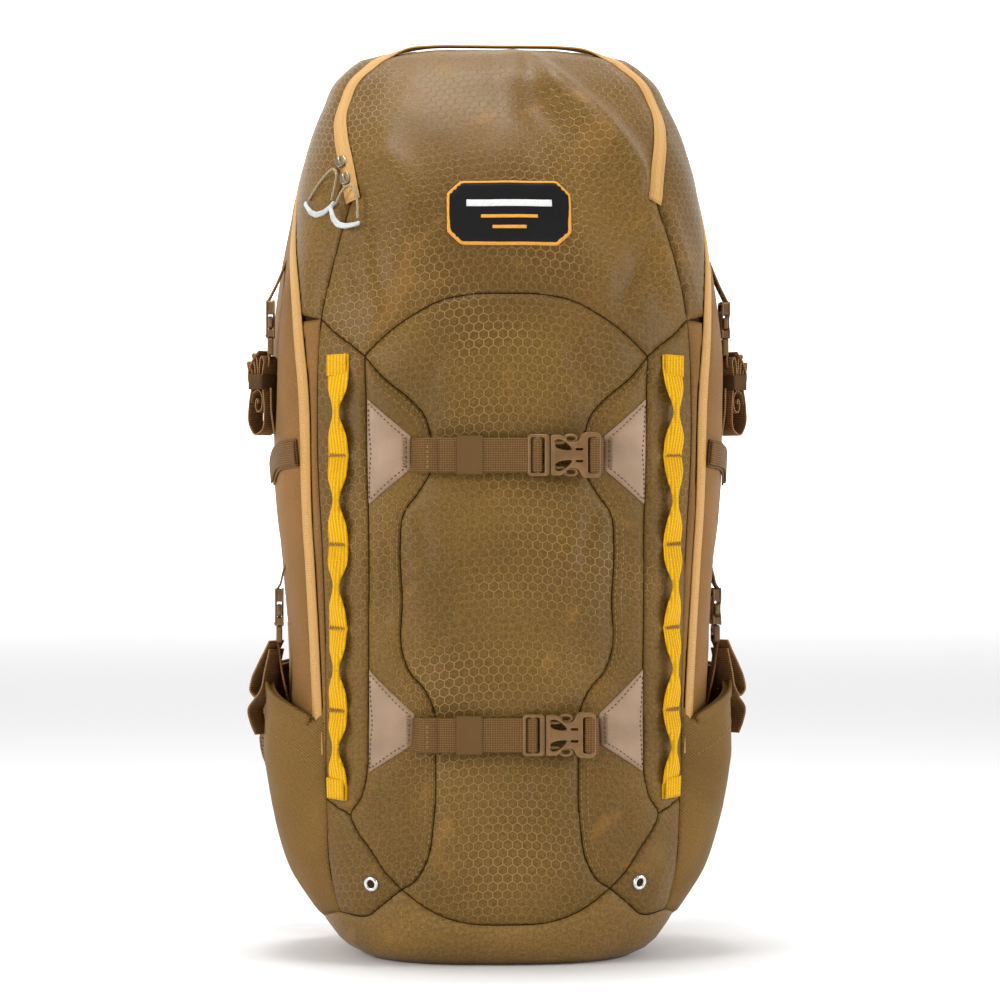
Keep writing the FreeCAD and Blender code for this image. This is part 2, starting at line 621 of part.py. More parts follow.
inner, wide = size("strap_inner"), size("strap_wide")
strap_path = [(102, 548), (118, 577), (140, 581), (153, 556), (156, 500), (153, 430),
              (149, 370), (141, 310), (129, 268)]
strap = prism(ribbon(strap_path, size("strap_thick")), "YZ", inner, wide)
keep("shoulder_strap_right", strap)
keep("shoulder_strap_left", mirrored(strap))

narrow = size("harness_webbing")
tail = prism(ribbon([(126.5, 264), (115, 190), (92, 100)], thick), "YZ", inner + 16, narrow)
tail = tail.cut(clear_of_pack)
lifter = prism(ribbon([(136, 590), (88, 626)], thick), "YZ", inner + 26, size("lifter_wide"))
lifter = lifter.cut(clear_of_pack)
keep("harness_webbings", tail, mirrored(tail), lifter, mirrored(lifter))

handle_path = [(-42, 603), (-42, 624), (-33, 639), (0, 645), (33, 639), (42, 624), (42, 603)]
keep("haul_handle", prism(ribbon(handle_path, size("handle_thick")), "XZ", size("handle_plane"), size("handle_wide")))

wing_path = [(81, 105), (125, 107), (152, 115), (169, 130), (174, 150)]
wing = prism(ribbon(wing_path, size("wing_thick")), "XY", size("wing_low"), size("wing_high"))
keep("hip_wing_right", wing)
keep("hip_wing_left", mirrored(wing))
hip_path = [(171, 153.5), (158, 157), (120, 157), (84, 157)]
hip = prism(ribbon(hip_path, thick), "XY", size("hip_level") - half_web, 2 * half_web)
keep("hip_strap_right", hip)
keep("hip_strap_left", mirrored(hip))
turn = Rotation(Vector(-1, 0, 0), Vector(0, 0, 1), Vector(0, 1, 0), "XYZ")
buckle_plug("hip_plug", "1", Placement(Vector(67, 157, size("hip_level")), turn), True)
buckle_body("hip_buckle_body", "1", Placement(Vector(-48, 157, size("hip_level")), turn))

sternum_level, sternum_plane, mouth = size("sternum_level"), size("sternum_plane"), size("sternum_mouth")
spot = Placement(Vector(mouth, sternum_plane, sternum_level), Rotation(Vector(1, 0, 0), 90))
buckle_body("sternum_buckle_body", "Sizes.small_ratio", spot)
buckle_plug("sternum_plug", "Sizes.small_ratio", spot, True)
ends = (
    (-inner + 0.6, mouth - ratio * size("frame_long") - 0.8),
    (mouth + ratio * size("buckle_long") + 0.2, inner - 0.6),
)
webs = []
for low, high in ends:
    webs.append(block((low, sternum_plane - thick / 2, sternum_level - 9),
                      (high, sternum_plane + thick / 2, sternum_level + 9)))
keep("sternum_strap", *webs)

# ---------------------------------------------------------------- checks and files

doc.recompute()
for item in doc.Objects:
    if "Invalid" in item.State or "Error" in item.State:
        raise RuntimeError("%s is %s" % (item.Label, item.State))
for piece in made:
    if piece.Shape.isNull() or not piece.Shape.isValid() or piece.Shape.Volume <= 0:
        raise RuntimeError("%s has no sound shape" % piece.Label)
    piece.Shape.exportStep("parts/%s.step" % piece.Label)
    box = piece.Shape.BoundBox
    print("%-24s %9.0f mm3  x %.1f..%.1f  y %.1f..%.1f  z %.1f..%.1f" % (
        piece.Label, piece.Shape.Volume, box.XMin, box.XMax, box.YMin, box.YMax, box.ZMin, box.ZMax))
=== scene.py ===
"""Hunting backpack: sewn cloth panels, zips, buckled webbing, lash loops and harness, built on the CAD frame.

Lengths in this file are millimetres unless a name ends in _m; everything is scaled to metres
when a mesh is made.  +Z is up, the front of the pack faces -Y.
"""

import json
import math

import bmesh
import bpy
import numpy as np
from mathutils import Matrix, Vector, noise


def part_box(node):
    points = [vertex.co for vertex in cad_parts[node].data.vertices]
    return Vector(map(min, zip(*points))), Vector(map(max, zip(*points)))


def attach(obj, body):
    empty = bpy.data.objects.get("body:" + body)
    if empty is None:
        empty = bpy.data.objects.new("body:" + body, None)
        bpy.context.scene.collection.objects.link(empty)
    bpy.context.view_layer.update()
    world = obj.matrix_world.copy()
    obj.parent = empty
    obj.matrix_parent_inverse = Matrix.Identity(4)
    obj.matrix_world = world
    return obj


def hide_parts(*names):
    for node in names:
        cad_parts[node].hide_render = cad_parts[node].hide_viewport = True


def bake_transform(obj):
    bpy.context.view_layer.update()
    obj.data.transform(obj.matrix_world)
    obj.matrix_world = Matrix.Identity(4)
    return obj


bl_info = {
    "name": "Hunting Backpack",
    "version": (1, 0, 0),
    "blender": (4, 5, 0),
    "location": "View3D > Sidebar > Backpack",
    "description": "Builds a hunting backpack on its CAD frame",
    "category": "Object",
}

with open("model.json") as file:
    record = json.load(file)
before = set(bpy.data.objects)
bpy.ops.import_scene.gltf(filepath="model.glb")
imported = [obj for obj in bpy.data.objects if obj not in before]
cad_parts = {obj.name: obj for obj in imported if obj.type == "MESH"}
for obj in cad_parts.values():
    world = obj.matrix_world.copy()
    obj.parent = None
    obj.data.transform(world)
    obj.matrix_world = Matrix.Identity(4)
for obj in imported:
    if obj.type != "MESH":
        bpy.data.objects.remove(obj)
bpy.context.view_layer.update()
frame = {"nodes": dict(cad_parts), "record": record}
MM = 0.001

# Height, half width, reach to the front and reach to the back of the filled pack.
SECTIONS = (
    (0, 92, 105, 70), (7, 107, 119, 83), (22, 122, 129, 90), (55, 139, 135.5, 94),
    (120, 148, 140, 95), (200, 151, 144, 95), (285, 155.5, 147, 95), (375, 162, 148, 95),
    (460, 162, 142, 95), (530, 151, 129, 95), (580, 141, 108, 95), (620, 127, 78, 92),
    (648, 112, 48, 84), (660, 94, 28, 73), (665, 72, 10, 60),
)
FRONT_POWER, BACK_POWER = 2.6, 4.0
TOP, BASE_CAP, TOP_CAP = 665, 100, 61
PLANE_WIDE = 520                      # width of half the unrolled pack in the flat plan
STRAP_LEVELS = (363.4, 166.8)
BARTACKS = (424.8, 363.6, 300.7, 241.3, 182.6, 129.5)


# ------------------------------------------------------------------ the pack's surface

def smooth_curve(xs, ys, x):
    """Cubic curve through the points, read at x."""
    xs, ys = np.asarray(xs, float), np.asarray(ys, float)
    slopes = np.gradient(ys, xs)
    k = np.clip(np.searchsorted(xs, x) - 1, 0, len(xs) - 2)
    span = xs[k + 1] - xs[k]
    t = (np.asarray(x, float) - xs[k]) / span
    return ((2 * t ** 3 - 3 * t ** 2 + 1) * ys[k] + (t ** 3 - 2 * t ** 2 + t) * span * slopes[k]
            + (3 * t ** 2 - 2 * t ** 3) * ys[k + 1] + (t ** 3 - t ** 2) * span * slopes[k + 1])


class PackSurface:
    """The filled pack, unrolled: `a` runs round it from the middle of the front, `b` runs up."""

    def __init__(self):
        self.levels = np.arange(-BASE_CAP + 2, TOP + TOP_CAP - 2, 2.0)
        heights = np.clip(self.levels, 0, TOP)
        columns = np.array(SECTIONS, float).T
        half, front, back = (smooth_curve(columns[0], column, heights) for column in columns[1:])
        shrink = np.where(self.levels > TOP, 1 - (self.levels - TOP) / TOP_CAP, 1)
        shrink = np.where(self.levels < 0, 1 + self.levels / BASE_CAP, shrink)
        turn = np.radians(np.linspace(-90, 90, 721))
        across, along = np.cos(turn), np.sin(turn)
        power = np.where(along < 0, 2 / FRONT_POWER, 2 / BACK_POWER)
        across = np.abs(across) ** power
        along = np.sign(along) * np.abs(along) ** power
        self.count = 180
        rows, lengths = [], []
        for k in range(len(self.levels)):
            x = half[k] * across * shrink[k]
            middle = (back[k] - front[k]) / 2
            y = middle + (back[k] + front[k]) / 2 * along * shrink[k]
            run = np.concatenate(([0], np.cumsum(np.hypot(np.diff(x), np.diff(y)))))
            even = np.linspace(0, run[-1], self.count + 1)
            crown = 3 * (1 - shrink[k] ** 2) if self.levels[k] > TOP else 0
            z = np.full(self.count + 1, heights[k] + crown)
            rows.append(np.stack([np.interp(even, run, x), np.interp(even, run, y), z], axis=1))
            lengths.append(run[-1])
        self.points = np.array(rows)
        self.lengths = np.array(lengths)
        steps = np.linalg.norm(np.diff(self.points, axis=0), axis=2)
        self.climb = np.concatenate([np.zeros((1, self.count + 1)), np.cumsum(steps, axis=0)])

    def grid_place(self, a, b):
        """Row, column and the two fractions of a plan position, with its side of the pack."""
        round_it = (np.asarray(a, float) / PLANE_WIDE + 1) % 2 - 1
        column = np.abs(round_it) * self.count
        row = np.clip((np.asarray(b, float) - self.levels[0]) / 2, 0, len(self.levels) - 1.001)
        j, k = row.astype(int), np.minimum(column.astype(int), self.count - 1)
        return j, k, row - j, column - k, np.where(round_it < 0, -1.0, 1.0)

    def blend(self, table, a, b):
        """Value of a table of the surface at plan positions."""
        j, k, f, g, side = self.grid_place(a, b)
        if table.ndim == 3:
            f, g = f[:, None], g[:, None]
        low = table[j, k] * (1 - g) + table[j, k + 1] * g
        high = table[j + 1, k] * (1 - g) + table[j + 1, k + 1] * g
        return low * (1 - f) + high * f, side

    def at(self, a, b, height=0.0):
        """Points of the surface at plan positions, moved out along the normal by `height`."""
        a, b = np.atleast_1d(np.asarray(a, float)), np.atleast_1d(np.asarray(b, float))

        def place(a, b):
            points, side = self.blend(self.points, a, b)
            return points * np.stack([side, np.ones_like(side), np.ones_like(side)], axis=1)

        normal = np.cross(place(a + 3, b) - place(a - 3, b), place(a, b + 3) - place(a, b - 3))
        normal /= np.maximum(np.linalg.norm(normal, axis=1), 1e-9)[:, None]
        return place(a, b) + normal * np.broadcast_to(height, a.shape)[:, None], normal

    def cloth_place(self, a, b):
        """Distance round and up the cloth, in metres, for patterns that don't stretch."""
        climb, _ = self.blend(self.climb, a, b)
        j, _, f, _, _ = self.grid_place(a, b)
        length = self.lengths[j] * (1 - f) + self.lengths[j + 1] * f
        return np.asarray(a, float) / PLANE_WIDE * length * MM, climb * MM

    def from_x(self, x, z):
        """Plan position of the front point at x, z."""
        row = self.points[int(round((z - self.levels[0]) / 2))]
        widest = int(np.argmax(row[:, 0]))
        return math.copysign(np.interp(abs(x), row[:widest + 1, 0], np.arange(widest + 1)), x) \
            / self.count * PLANE_WIDE, z

    def from_y(self, y, z, side=1):
        """Plan position of the side point at y, z."""
        row = self.points[int(round((z - self.levels[0]) / 2))]
        return side * np.interp(y, row[:, 1], np.arange(self.count + 1)) / self.count * PLANE_WIDE, z


pack = PackSurface()


def resample(points, step, closed=False, smooth=True):
    """Evenly spaced points along a line through the given ones."""
    points = np.asarray(points, float)
    if closed:
        points = np.vstack([points, points[:1]])
    run = np.concatenate(([0], np.cumsum(np.linalg.norm(np.diff(points, axis=0), axis=1))))
    count = max(int(round(run[-1] / step)), 2)
    even = np.linspace(0, run[-1], count + 1)
    read = smooth_curve if smooth and len(points) > 2 else np.interp
    columns = [read(run, column, even) if read is smooth_curve else np.interp(even, run, column)
               for column in points.T]
    return np.stack(columns, axis=1)


def front_path(points, step=3.0, smooth=True):
    """Plan line through points given as x, z on the front of the pack."""
    return resample([pack.from_x(x, z) for x, z in points], step, smooth=smooth)


def side_path(points, side=1, step=3.0):
    """Plan line through points given as y, z on one side of the pack."""
    return resample([pack.from_y(y, z, side) for y, z in points], step)


def flip(points):
    """Line on the other side of the pack, run backwards so that a loop keeps its sense."""
    return np.asarray(points)[::-1] * (-1, 1)


def loop_of(*runs):
    """Closed outline of runs that follow one another; points that meet are kept once."""
    points = np.vstack(runs)
    gaps = np.linalg.norm(points - np.roll(points, 1, axis=0), axis=1)
    return points[gaps > 0.4]


def distance_to(points, line, closed=False):
    """Distance of each plan point from a line."""
    line = np.asarray(line, float)
    if closed:
        line = np.vstack([line, line[:1]])
    best = np.full(len(points), 1e9)
    for start, end in zip(line[:-1], line[1:]):
        run = end - start
        t = np.clip(((points - start) @ run) / max(run @ run, 1e-9), 0, 1)
        best = np.minimum(best, np.linalg.norm(points - start - t[:, None] * run, axis=1))
    return best


# Seams of the front, as x and z.
ARCH = [(-100.5, 434), (-85, 449), (-64, 464), (-46, 473), (-22, 477.5), (0, 478),
        (22, 477.5), (46, 473), (64, 464), (85, 449), (100.5, 434)]
CONTOUR = [(100.5, 434), (88, 419), (70, 404), (59, 392), (55, 381), (54.5, 352), (63, 337),
           (73, 322.5), (75.5, 300), (74, 262), (74, 225), (69, 211), (58, 198), (51.5, 183),
           (50.5, 153), (52, 102), (56, 78), (65, 62), (74, 56)]
HEM = [(74, 56), (60, 45), (42, 36), (0, 31), (-42, 36), (-60, 45), (-74, 56)]
YOKE_EDGE = [(100.5, 434), (99, 390), (98, 330), (97.5, 250), (98, 170), (99, 135), (103, 120), (110, 108),
             (105, 96), (97, 85), (84, 66), (74, 56)]
MAIN_ZIP = [(-96, 150), (-99, 300), (-98, 430), (-82, 480), (-50, 525), (-5, 575), (30, 625), (43, 655),
            (46, 664)]
LID_ZIP = [(107, 545), (112, 572), (115.5, 594), (115, 615), (108, 633), (96, 648), (83, 658)]

# Soft folds of the filled cloth: line on the front as x, z; width and height of the fold.
FOLDS = (
    (((20, 648), (52, 620), (86, 580), (108, 538), (120, 500), (128, 452)), 14, 8.5),
    (((4, 640), (36, 596), (62, 556), (84, 514), (98, 466)), 17, -6.5),
    (((78, 470), (96, 496), (108, 524), (112, 552)), 7, -3.2),
    (((66, 478), (80, 504), (88, 536)), 8, 2.6),
    (((-100, 470), (-106, 500), (-110, 530)), 7, -3.0),
    (((-88, 452), (-96, 480), (-104, 512)), 6, 2.5),
    (((-120, 470), (-124, 505), (-122, 540)), 6, -2.4),
    (((-60, 520), (-72, 560), (-96, 590)), 12, 3.2),
    (((-50, 640), (0, 646), (50, 640)), 16, 2.0),
    (((-86, 545), (-92, 500), (-88, 470)), 9, -3.2),
    (((60, 410), (48, 428), (40, 452)), 7, -1.8),
    (((74, 425), (66, 440), (62, 458)), 5, -1.6),
    (((-60, 408), (-50, 425), (-46, 440)), 6, -1.4),
    (((64, 330), (56, 308), (52, 280)), 7, -2.6),
    (((52, 326), (46, 300), (46, 262)), 6, 1.8),
    (((-64, 330), (-58, 305), (-56, 270)), 7, -1.8),
    (((60, 210), (50, 226), (44, 250)), 6, -2.2),
    (((-60, 208), (-50, 224), (-48, 244)), 6, -1.8),
    (((0, 385), (8, 400), (10, 425)), 9, -1.0),
    (((30, 140), (24, 120), (26, 90)), 8, -1.6),
    (((-28, 142), (-30, 118), (-24, 88)), 8, -1.2),
    (((0, 150), (4, 130), (2, 105)), 8, 1.2),
    (((88, 320), (84, 285), (86, 240)), 5, -1.8),
    (((-88, 322), (-84, 290), (-86, 238)), 5, -1.6),
    (((92, 128), (84, 110), (74, 88)), 6, -1.4),
    (((-92, 128), (-86, 108), (-76, 86)), 6, -1.2),
)
fold_lines = [(front_path(points, 6.0), width, height) for points, width, height in FOLDS]


def relief(a, b):
    """How far the filled cloth stands out of (or sinks into) the smooth pack here."""
    plan = np.stack([a, b], axis=1)
    height = np.zeros(len(a))
    for line, width, rise in fold_lines:
        away = distance_to(plan, line)
        ends = np.min([np.linalg.norm(plan - end, axis=1) for end in (line[0], line[-1])], axis=0)
        fade = np.clip(ends / (2.4 * width), 0, 1)
        height += rise * np.exp(-(away / width) ** 2) * fade * fade * (3 - 2 * fade)
    height += np.array([1.5 * noise.noise(Vector((u / 70, v / 95, 3.1)))
                        + 0.8 * noise.noise(Vector((u / 26, v / 40, 8.7)))
                        + 0.25 * noise.noise(Vector((u / 11, v / 13, 1.9))) for u, v in plan])
    for level in STRAP_LEVELS:
        inside = 1 / (1 + np.exp((np.abs(a) - 62) / 7))
        near = (b - level) / 15
        height += inside * (-3.0 * np.exp(-near ** 2) + 1.3 * np.exp(-((np.abs(near) - 2.1) / 0.9) ** 2))
    return height


# ------------------------------------------------------------------ materials

def chosen(group):
    """The user's settings of this group."""
    return getattr(bpy.context.scene, group)


class Wire:
    """A number inside a material; arithmetic on it adds Math nodes."""

    def __init__(self, tree, socket):
        self.tree, self.socket = tree, socket

    def math(self, operation, *others):
        node = self.tree.nodes.new("ShaderNodeMath")
        node.operation = operation
        for k, value in enumerate((self,) + others):
            if isinstance(value, Wire):
                self.tree.links.new(value.socket, node.inputs[k])
            else:
                node.inputs[k].default_value = value
        return Wire(self.tree, node.outputs[0])

    def __add__(self, other):
        return self.math("ADD", other)

    def __sub__(self, other):
        return self.math("SUBTRACT", other)

    def __mul__(self, other):
        return self.math("MULTIPLY", other)

    def __truediv__(self, other):
        return self.math("DIVIDE", other)

    __radd__, __rmul__ = __add__, __mul__

    def step(self, low, high):
        """0 below low, 1 above high, smooth between."""
        node = self.tree.nodes.new("ShaderNodeMapRange")
        node.interpolation_type = "SMOOTHSTEP"
        self.tree.links.new(self.socket, node.inputs["Value"])
        node.inputs["From Min"].default_value = low
        node.inputs["From Max"].default_value = high
        return Wire(self.tree, node.outputs["Result"])

    def wave(self, period):
        """Even ripple from 0 to 1 with this period."""
        return (self * (2 * math.pi / period)).math("SINE") * 0.5 + 0.5


class Surface:
    """A material being wired: one Principled shader and the nodes that feed it."""

    def __init__(self, name, rough, **constants):
        self.material = bpy.data.materials.new(name)
        self.material.use_nodes = True
        self.tree = self.material.node_tree
        self.shader = self.tree.nodes["Principled BSDF"]
        self.shader.inputs["Roughness"].default_value = rough
        for key, value in constants.items():
            self.shader.inputs[key.replace("_", " ")].default_value = value

    def node(self, kind, inputs=None, **settings):
        """New node with its settings and inputs; an input may be a Wire or a value."""
        node = self.tree.nodes.new(kind)
        for key, value in settings.items():
            setattr(node, key, value)
        for key, value in (inputs or {}).items():
            if isinstance(value, Wire):
                self.tree.links.new(value.socket, node.inputs[key])
            else:
                node.inputs[key].default_value = value
        return node

    def place(self, kind="UV"):
        """The three coordinates of the surface: the cloth's own plan, or the object's."""
        coordinates = self.node("ShaderNodeTexCoord")
        split = self.node("ShaderNodeSeparateXYZ")
        self.tree.links.new(coordinates.outputs[kind], split.inputs[0])
        self.vector = Wire(self.tree, coordinates.outputs[kind])
        return [Wire(self.tree, output) for output in split.outputs]

    def noise(self, scale, detail=2.0, **inputs):
        """Soft random pattern from 0 to 1."""
        node = self.node("ShaderNodeTexNoise",
                         {"Vector": self.vector, "Scale": scale, "Detail": detail, **inputs})
        return Wire(self.tree, node.outputs["Factor"] if "Factor" in node.outputs else node.outputs[0])

    def mix(self, factor, low, high):
        """Colour between two colours."""
        node = self.node("ShaderNodeMix", {0: factor}, data_type="RGBA", clamp_factor=True)
        for socket, colour in ((node.inputs[6], low), (node.inputs[7], high)):
            if isinstance(colour, Wire):
                self.tree.links.new(colour.socket, socket)
            else:
                socket.default_value = (*colour, 1)
        return Wire(self.tree, node.outputs[2])

    def finish(self, colour=None, rough=None, bump=None, depth=0.2, alpha=None):
        """Wire the finished colour, roughness and bump into the shader."""
        for socket, wire in (("Base Color", colour), ("Roughness", rough), ("Alpha", alpha)):
            if wire is not None:
                self.tree.links.new(wire.socket, self.shader.inputs[socket])
        if bump is not None:
            node = self.node("ShaderNodeBump", {"Height": bump, "Strength": 1.0, "Distance": depth * MM})
            self.tree.links.new(node.outputs[0], self.shader.inputs["Normal"])
        return self.material


def honeycomb(x, y, cell):
    """Distance from the nearest wall of a honeycomb, 0 on it and 0.5 in the middle of a cell."""
    def to_centre(shift):
        gx = (x / cell + shift).math("FLOORED_MODULO", 1.0) - 0.5
        gy = (y / cell + shift * 1.7320508).math("FLOORED_MODULO", 1.7320508) - 0.8660254
        return gx, gy
    (ax, ay), (bx, by) = to_centre(0.0), to_centre(0.5)
    nearer = (ax * ax + ay * ay).math("LESS_THAN", bx * bx + by * by)
    gx = (bx + nearer * (ax - bx)).math("ABSOLUTE")
    gy = (by + nearer * (ay - by)).math("ABSOLUTE")
    return gx.math("MAXIMUM", gx * 0.5 + gy * 0.8660254) * -1 + 0.5


def ripstop(name, base, line, shine=0.35, strength=1.0, spot=0.0):
    """Glossy woven cloth with a honeycomb of thicker threads that shows more in some places: the paler
    threads show in patches of painted sheen, with a painted shade edge beside them, under broad patches of
    painted sheen.
    """
    surface = Surface(name, 0.5, Specular_IOR_Level=0.16)
    x, y, _ = surface.place()
    wall = honeycomb(x, y, chosen("pack_cloth").cell)
    thread = wall.step(0.02, 0.075) * -1 + 1
    # painted sheen: patches where the paler honeycomb threads show, as glossy threads catch the light
    line_sheen_mask = surface.noise(7.0, 1.5, Distortion=0.8).step(0.40 + spot, 0.66 + spot) * 0.75 + 0.25
    dark_zone = surface.noise(9.0, 1.0, Distortion=0.4).step(0.35, 0.65)
    grain = surface.noise(900.0, 3.0)
    fleck = surface.noise(380.0, 3.0)
    twill = (x + y * 0.45).wave(0.0011) * (x - y * 0.9).wave(0.0013)
    shade = grain * 0.45 + fleck * 0.45 + twill * 0.12 + dark_zone * 0.10 + -0.06
    dark = tuple(c * 0.58 for c in base)
    light = tuple(c * 1.42 for c in base)
    cloth = surface.mix(shade.step(0.30, 0.72), dark, light)
    # painted shade: a darker edge beside each raised thread, only inside the sheen patches
    rim = wall.step(0.06, 0.10) * (wall.step(0.12, 0.20) * -1 + 1)
    cloth = surface.mix(rim * 0.5 * line_sheen_mask, cloth, dark)
    sheen = surface.noise(16.0, 2.0, Distortion=1.6).step(0.60, 0.74) * 0.35
    cloth = surface.mix(sheen, cloth, tuple(c * f for c, f in zip(base, (1.85, 1.65, 1.5))))
    colour = surface.mix(thread * line_sheen_mask * (0.72 * strength), cloth, line)
    rough = grain * 0.12 + thread * -0.08 + shine
    bump = thread * 0.8 + grain * 0.35 + twill * 0.3
    return surface.finish(colour, rough, bump, 0.22)


def plain_cloth(name, base, shine=0.5):
    """Plain pack cloth with a fine diagonal weave and slight fading."""
    surface = Surface(name, 0.6, Specular_IOR_Level=0.1)
    x, y, _ = surface.place()
    fade = surface.noise(14.0, 2.0, Distortion=0.5)
    grain = surface.noise(520.0, 3.0)
    twill = (x * 0.8 + y).wave(0.0022)
    shade = fade * 0.4 + grain * 0.4 + twill * 0.2
    colour = surface.mix(shade.step(0.28, 0.74), tuple(c * 0.66 for c in base), tuple(c * 1.28 for c in base))
    return surface.finish(colour, grain * 0.15 + shine, twill + grain * 0.6, 0.18)


def webbing(name, base, pick=0.0017, rib=0.0016, depth=0.25, contrast=0.55):
    """Woven strap: ribs along it (u) crossed by picks (v is across)."""
    surface = Surface(name, 0.6, Specular_IOR_Level=0.12)
    x, y, _ = surface.place()
    ribs, picks = y.wave(rib), x.wave(pick)
    fuzz = surface.noise(600.0, 2.0)
    cross = ribs * picks
    shade = (cross * contrast + ribs * 0.12 + fuzz * 0.35).step(0.1, 0.85)
    colour = surface.mix(shade, tuple(c * 0.5 for c in base), tuple(c * 1.3 for c in base))
    return surface.finish(colour, fuzz * 0.15 + 0.5, cross + ribs * 0.8 + fuzz * 0.3, depth)


def moulded(name, base, rough=0.34, grain_depth=0.05):
    """Moulded plastic or rubber with fine grain and scuffed high spots."""
    surface = Surface(name, rough, Specular_IOR_Level=0.5)
    surface.place("Object")
    grain, wear = surface.noise(1500.0, 2.0), surface.noise(120.0, 3.0)
    colour = surface.mix(wear.step(0.3, 0.75), tuple(c * 0.85 for c in base), tuple(c * 1.18 for c in base))
    return surface.finish(colour, wear * 0.18 + (rough - 0.08), grain, grain_depth)


def brushed(name, base, rough=0.3):
    """Plated metal with faint scratches."""
    surface = Surface(name, rough, Metallic=1.0)
    surface.place("Object")
    scratch = surface.noise(800.0, 3.0, Distortion=1.5)
    colour = surface.mix(scratch.step(0.3, 0.8), tuple(c * 0.8 for c in base), base)
    return surface.finish(colour, scratch * 0.2 + (rough - 0.1), scratch, 0.02)


def leatherette():
    """Smooth coated patch cloth with a faint sheen."""
    surface = Surface("Leatherette", 0.5, Specular_IOR_Level=0.35)
    surface.place()
    cloud, grain = surface.noise(35.0, 2.0), surface.noise(1100.0, 2.0)
    shade = (cloud * 0.7 + grain * 0.3).step(0.25, 0.8)
    colour = surface.mix(shade, (0.235, 0.150, 0.092), (0.37, 0.245, 0.155))
    return surface.finish(colour, grain * 0.12 + 0.40, grain, 0.05)


def zip_tape():
    """Herringbone zip tape with the coil pressing through along its middle."""
    surface = Surface("ZipTape", 0.55, Specular_IOR_Level=0.2)
    x, y, _ = surface.place()
    middle = y.math("ABSOLUTE")
    rib, teeth = y.wave(0.0012), x.wave(0.0016)
    coil = middle.step(0.0016, 0.0030) * -1 + 1
    fuzz = surface.noise(600.0, 2.0)
    shade = rib * 0.3 + fuzz * 0.4 + teeth * coil * 0.4
    colour = surface.mix(shade.step(0.1, 0.9), (0.40, 0.215, 0.062), (0.62, 0.355, 0.12))
    return surface.finish(colour, fuzz * 0.15 + 0.45, teeth * coil + rib * 0.4 + coil * 0.6, 0.3)


def embroidery(name, base, across=0.0008, depth=0.12):
    """Satin-stitched thread."""
    surface = Surface(name, 0.5, Specular_IOR_Level=0.12)
    x, y, _ = surface.place("Object")
    lines, fuzz = (x + y * 0.35).wave(across), surface.noise(900.0, 2.0)
    shade = (lines * 0.5 + fuzz * 0.6).step(0.2, 0.95)
    colour = surface.mix(shade, tuple(c * 0.6 for c in base), tuple(min(c * 1.15, 1) for c in base))
    return surface.finish(colour, fuzz * 0.2 + 0.4, lines + fuzz, depth)


def air_mesh():
    """Open spacer mesh of the padding."""
    surface = Surface("AirMesh", 0.75, Specular_IOR_Level=0.1)
    x, y, _ = surface.place()
    holes = honeycomb(x, y, chosen("pack_padding").mesh_cell).step(0.18, 0.32)
    fuzz = surface.noise(500.0, 2.0)
    # the openings are painted near black: painted shade down inside the mesh
    colour = surface.mix(holes, (0.165, 0.095, 0.038), (0.032, 0.019, 0.009))
    return surface.finish(colour, fuzz * 0.1 + 0.7, holes * -1 + fuzz * 0.3, 0.7)


MATERIALS = {
    # the front ripstop is a little darker than the yoke ripstop: painted shade where the light falls off on
    # the front pocket
    "Ripstop": lambda: ripstop("Ripstop", chosen("pack_cloth").front, (0.37, 0.222, 0.072)),
    "RipstopLid": lambda: ripstop("RipstopLid", chosen("pack_cloth").lid, (0.37, 0.215, 0.075), spot=0.05),
    "RipstopLow": lambda: ripstop("RipstopLow", chosen("pack_cloth").low, (0.34, 0.195, 0.060),
                                  strength=0.75),
    "RipstopBase": lambda: ripstop("RipstopBase", chosen("pack_cloth").base, (0.34, 0.200, 0.070),
                                   strength=0.45),
    "SideCloth": lambda: plain_cloth("SideCloth", chosen("pack_cloth").side),
    "PocketCloth": lambda: plain_cloth("PocketCloth", chosen("pack_cloth").pocket),
    "SeamShadow": lambda: plain_cloth("SeamShadow", (0.034, 0.017, 0.005), 0.8),
    "Webbing": lambda: webbing("Webbing", chosen("pack_webbing").strap),
    # lighter copy of the strap webbing: painted light on the side straps and spare webbing, which lie in
    # shade
    "SideWebbingPaintedLight": lambda: webbing("SideWebbingPaintedLight", (0.270, 0.140, 0.055)),
    "LoopWebbing": lambda: webbing("LoopWebbing", chosen("pack_webbing").loops, 0.0011, 0.0026, 0.22, 0.25),
    "Elastic": lambda: webbing("Elastic", (0.250, 0.132, 0.042), 0.0008, 0.0009, 0.08, 0.2),
    "Plastic": lambda: moulded("Plastic", chosen("pack_webbing").buckle),
    "DarkPlastic": lambda: moulded("DarkPlastic", (0.03, 0.028, 0.025), 0.5),
    "Grip": lambda: moulded("Grip", (0.47, 0.50, 0.49), 0.45),
    "SliderMetal": lambda: brushed("SliderMetal", (0.36, 0.29, 0.19), 0.38),
    "EyeletMetal": lambda: brushed("EyeletMetal", (0.80, 0.80, 0.80), 0.25),
    "Aluminium": lambda: brushed("Aluminium", (0.85, 0.85, 0.86), 0.35),
    "Leatherette": leatherette,
    "ZipTape": zip_tape,
    "Thread": lambda: embroidery("Thread", (0.30, 0.180, 0.065)),
    "DarkThread": lambda: embroidery("DarkThread", (0.10, 0.055, 0.03)),
    "BartackThread": lambda: embroidery("BartackThread", (0.40, 0.22, 0.07)),
    "LabelCloth": lambda: embroidery("LabelCloth", (0.006, 0.006, 0.007)),
    "LabelEdge": lambda: embroidery("LabelEdge", (0.80, 0.36, 0.06)),
    "LabelWhite": lambda: embroidery("LabelWhite", (0.80, 0.80, 0.78)),
    "Cord": lambda: embroidery("Cord", (0.36, 0.27, 0.16), 0.0012, 0.2),
    "AirMesh": air_mesh,
}


def material(name):
    """A material by name, made the first time it is asked for."""
    return bpy.data.materials.get(name) or MATERIALS[name]()


# ------------------------------------------------------------------ meshes and pieces

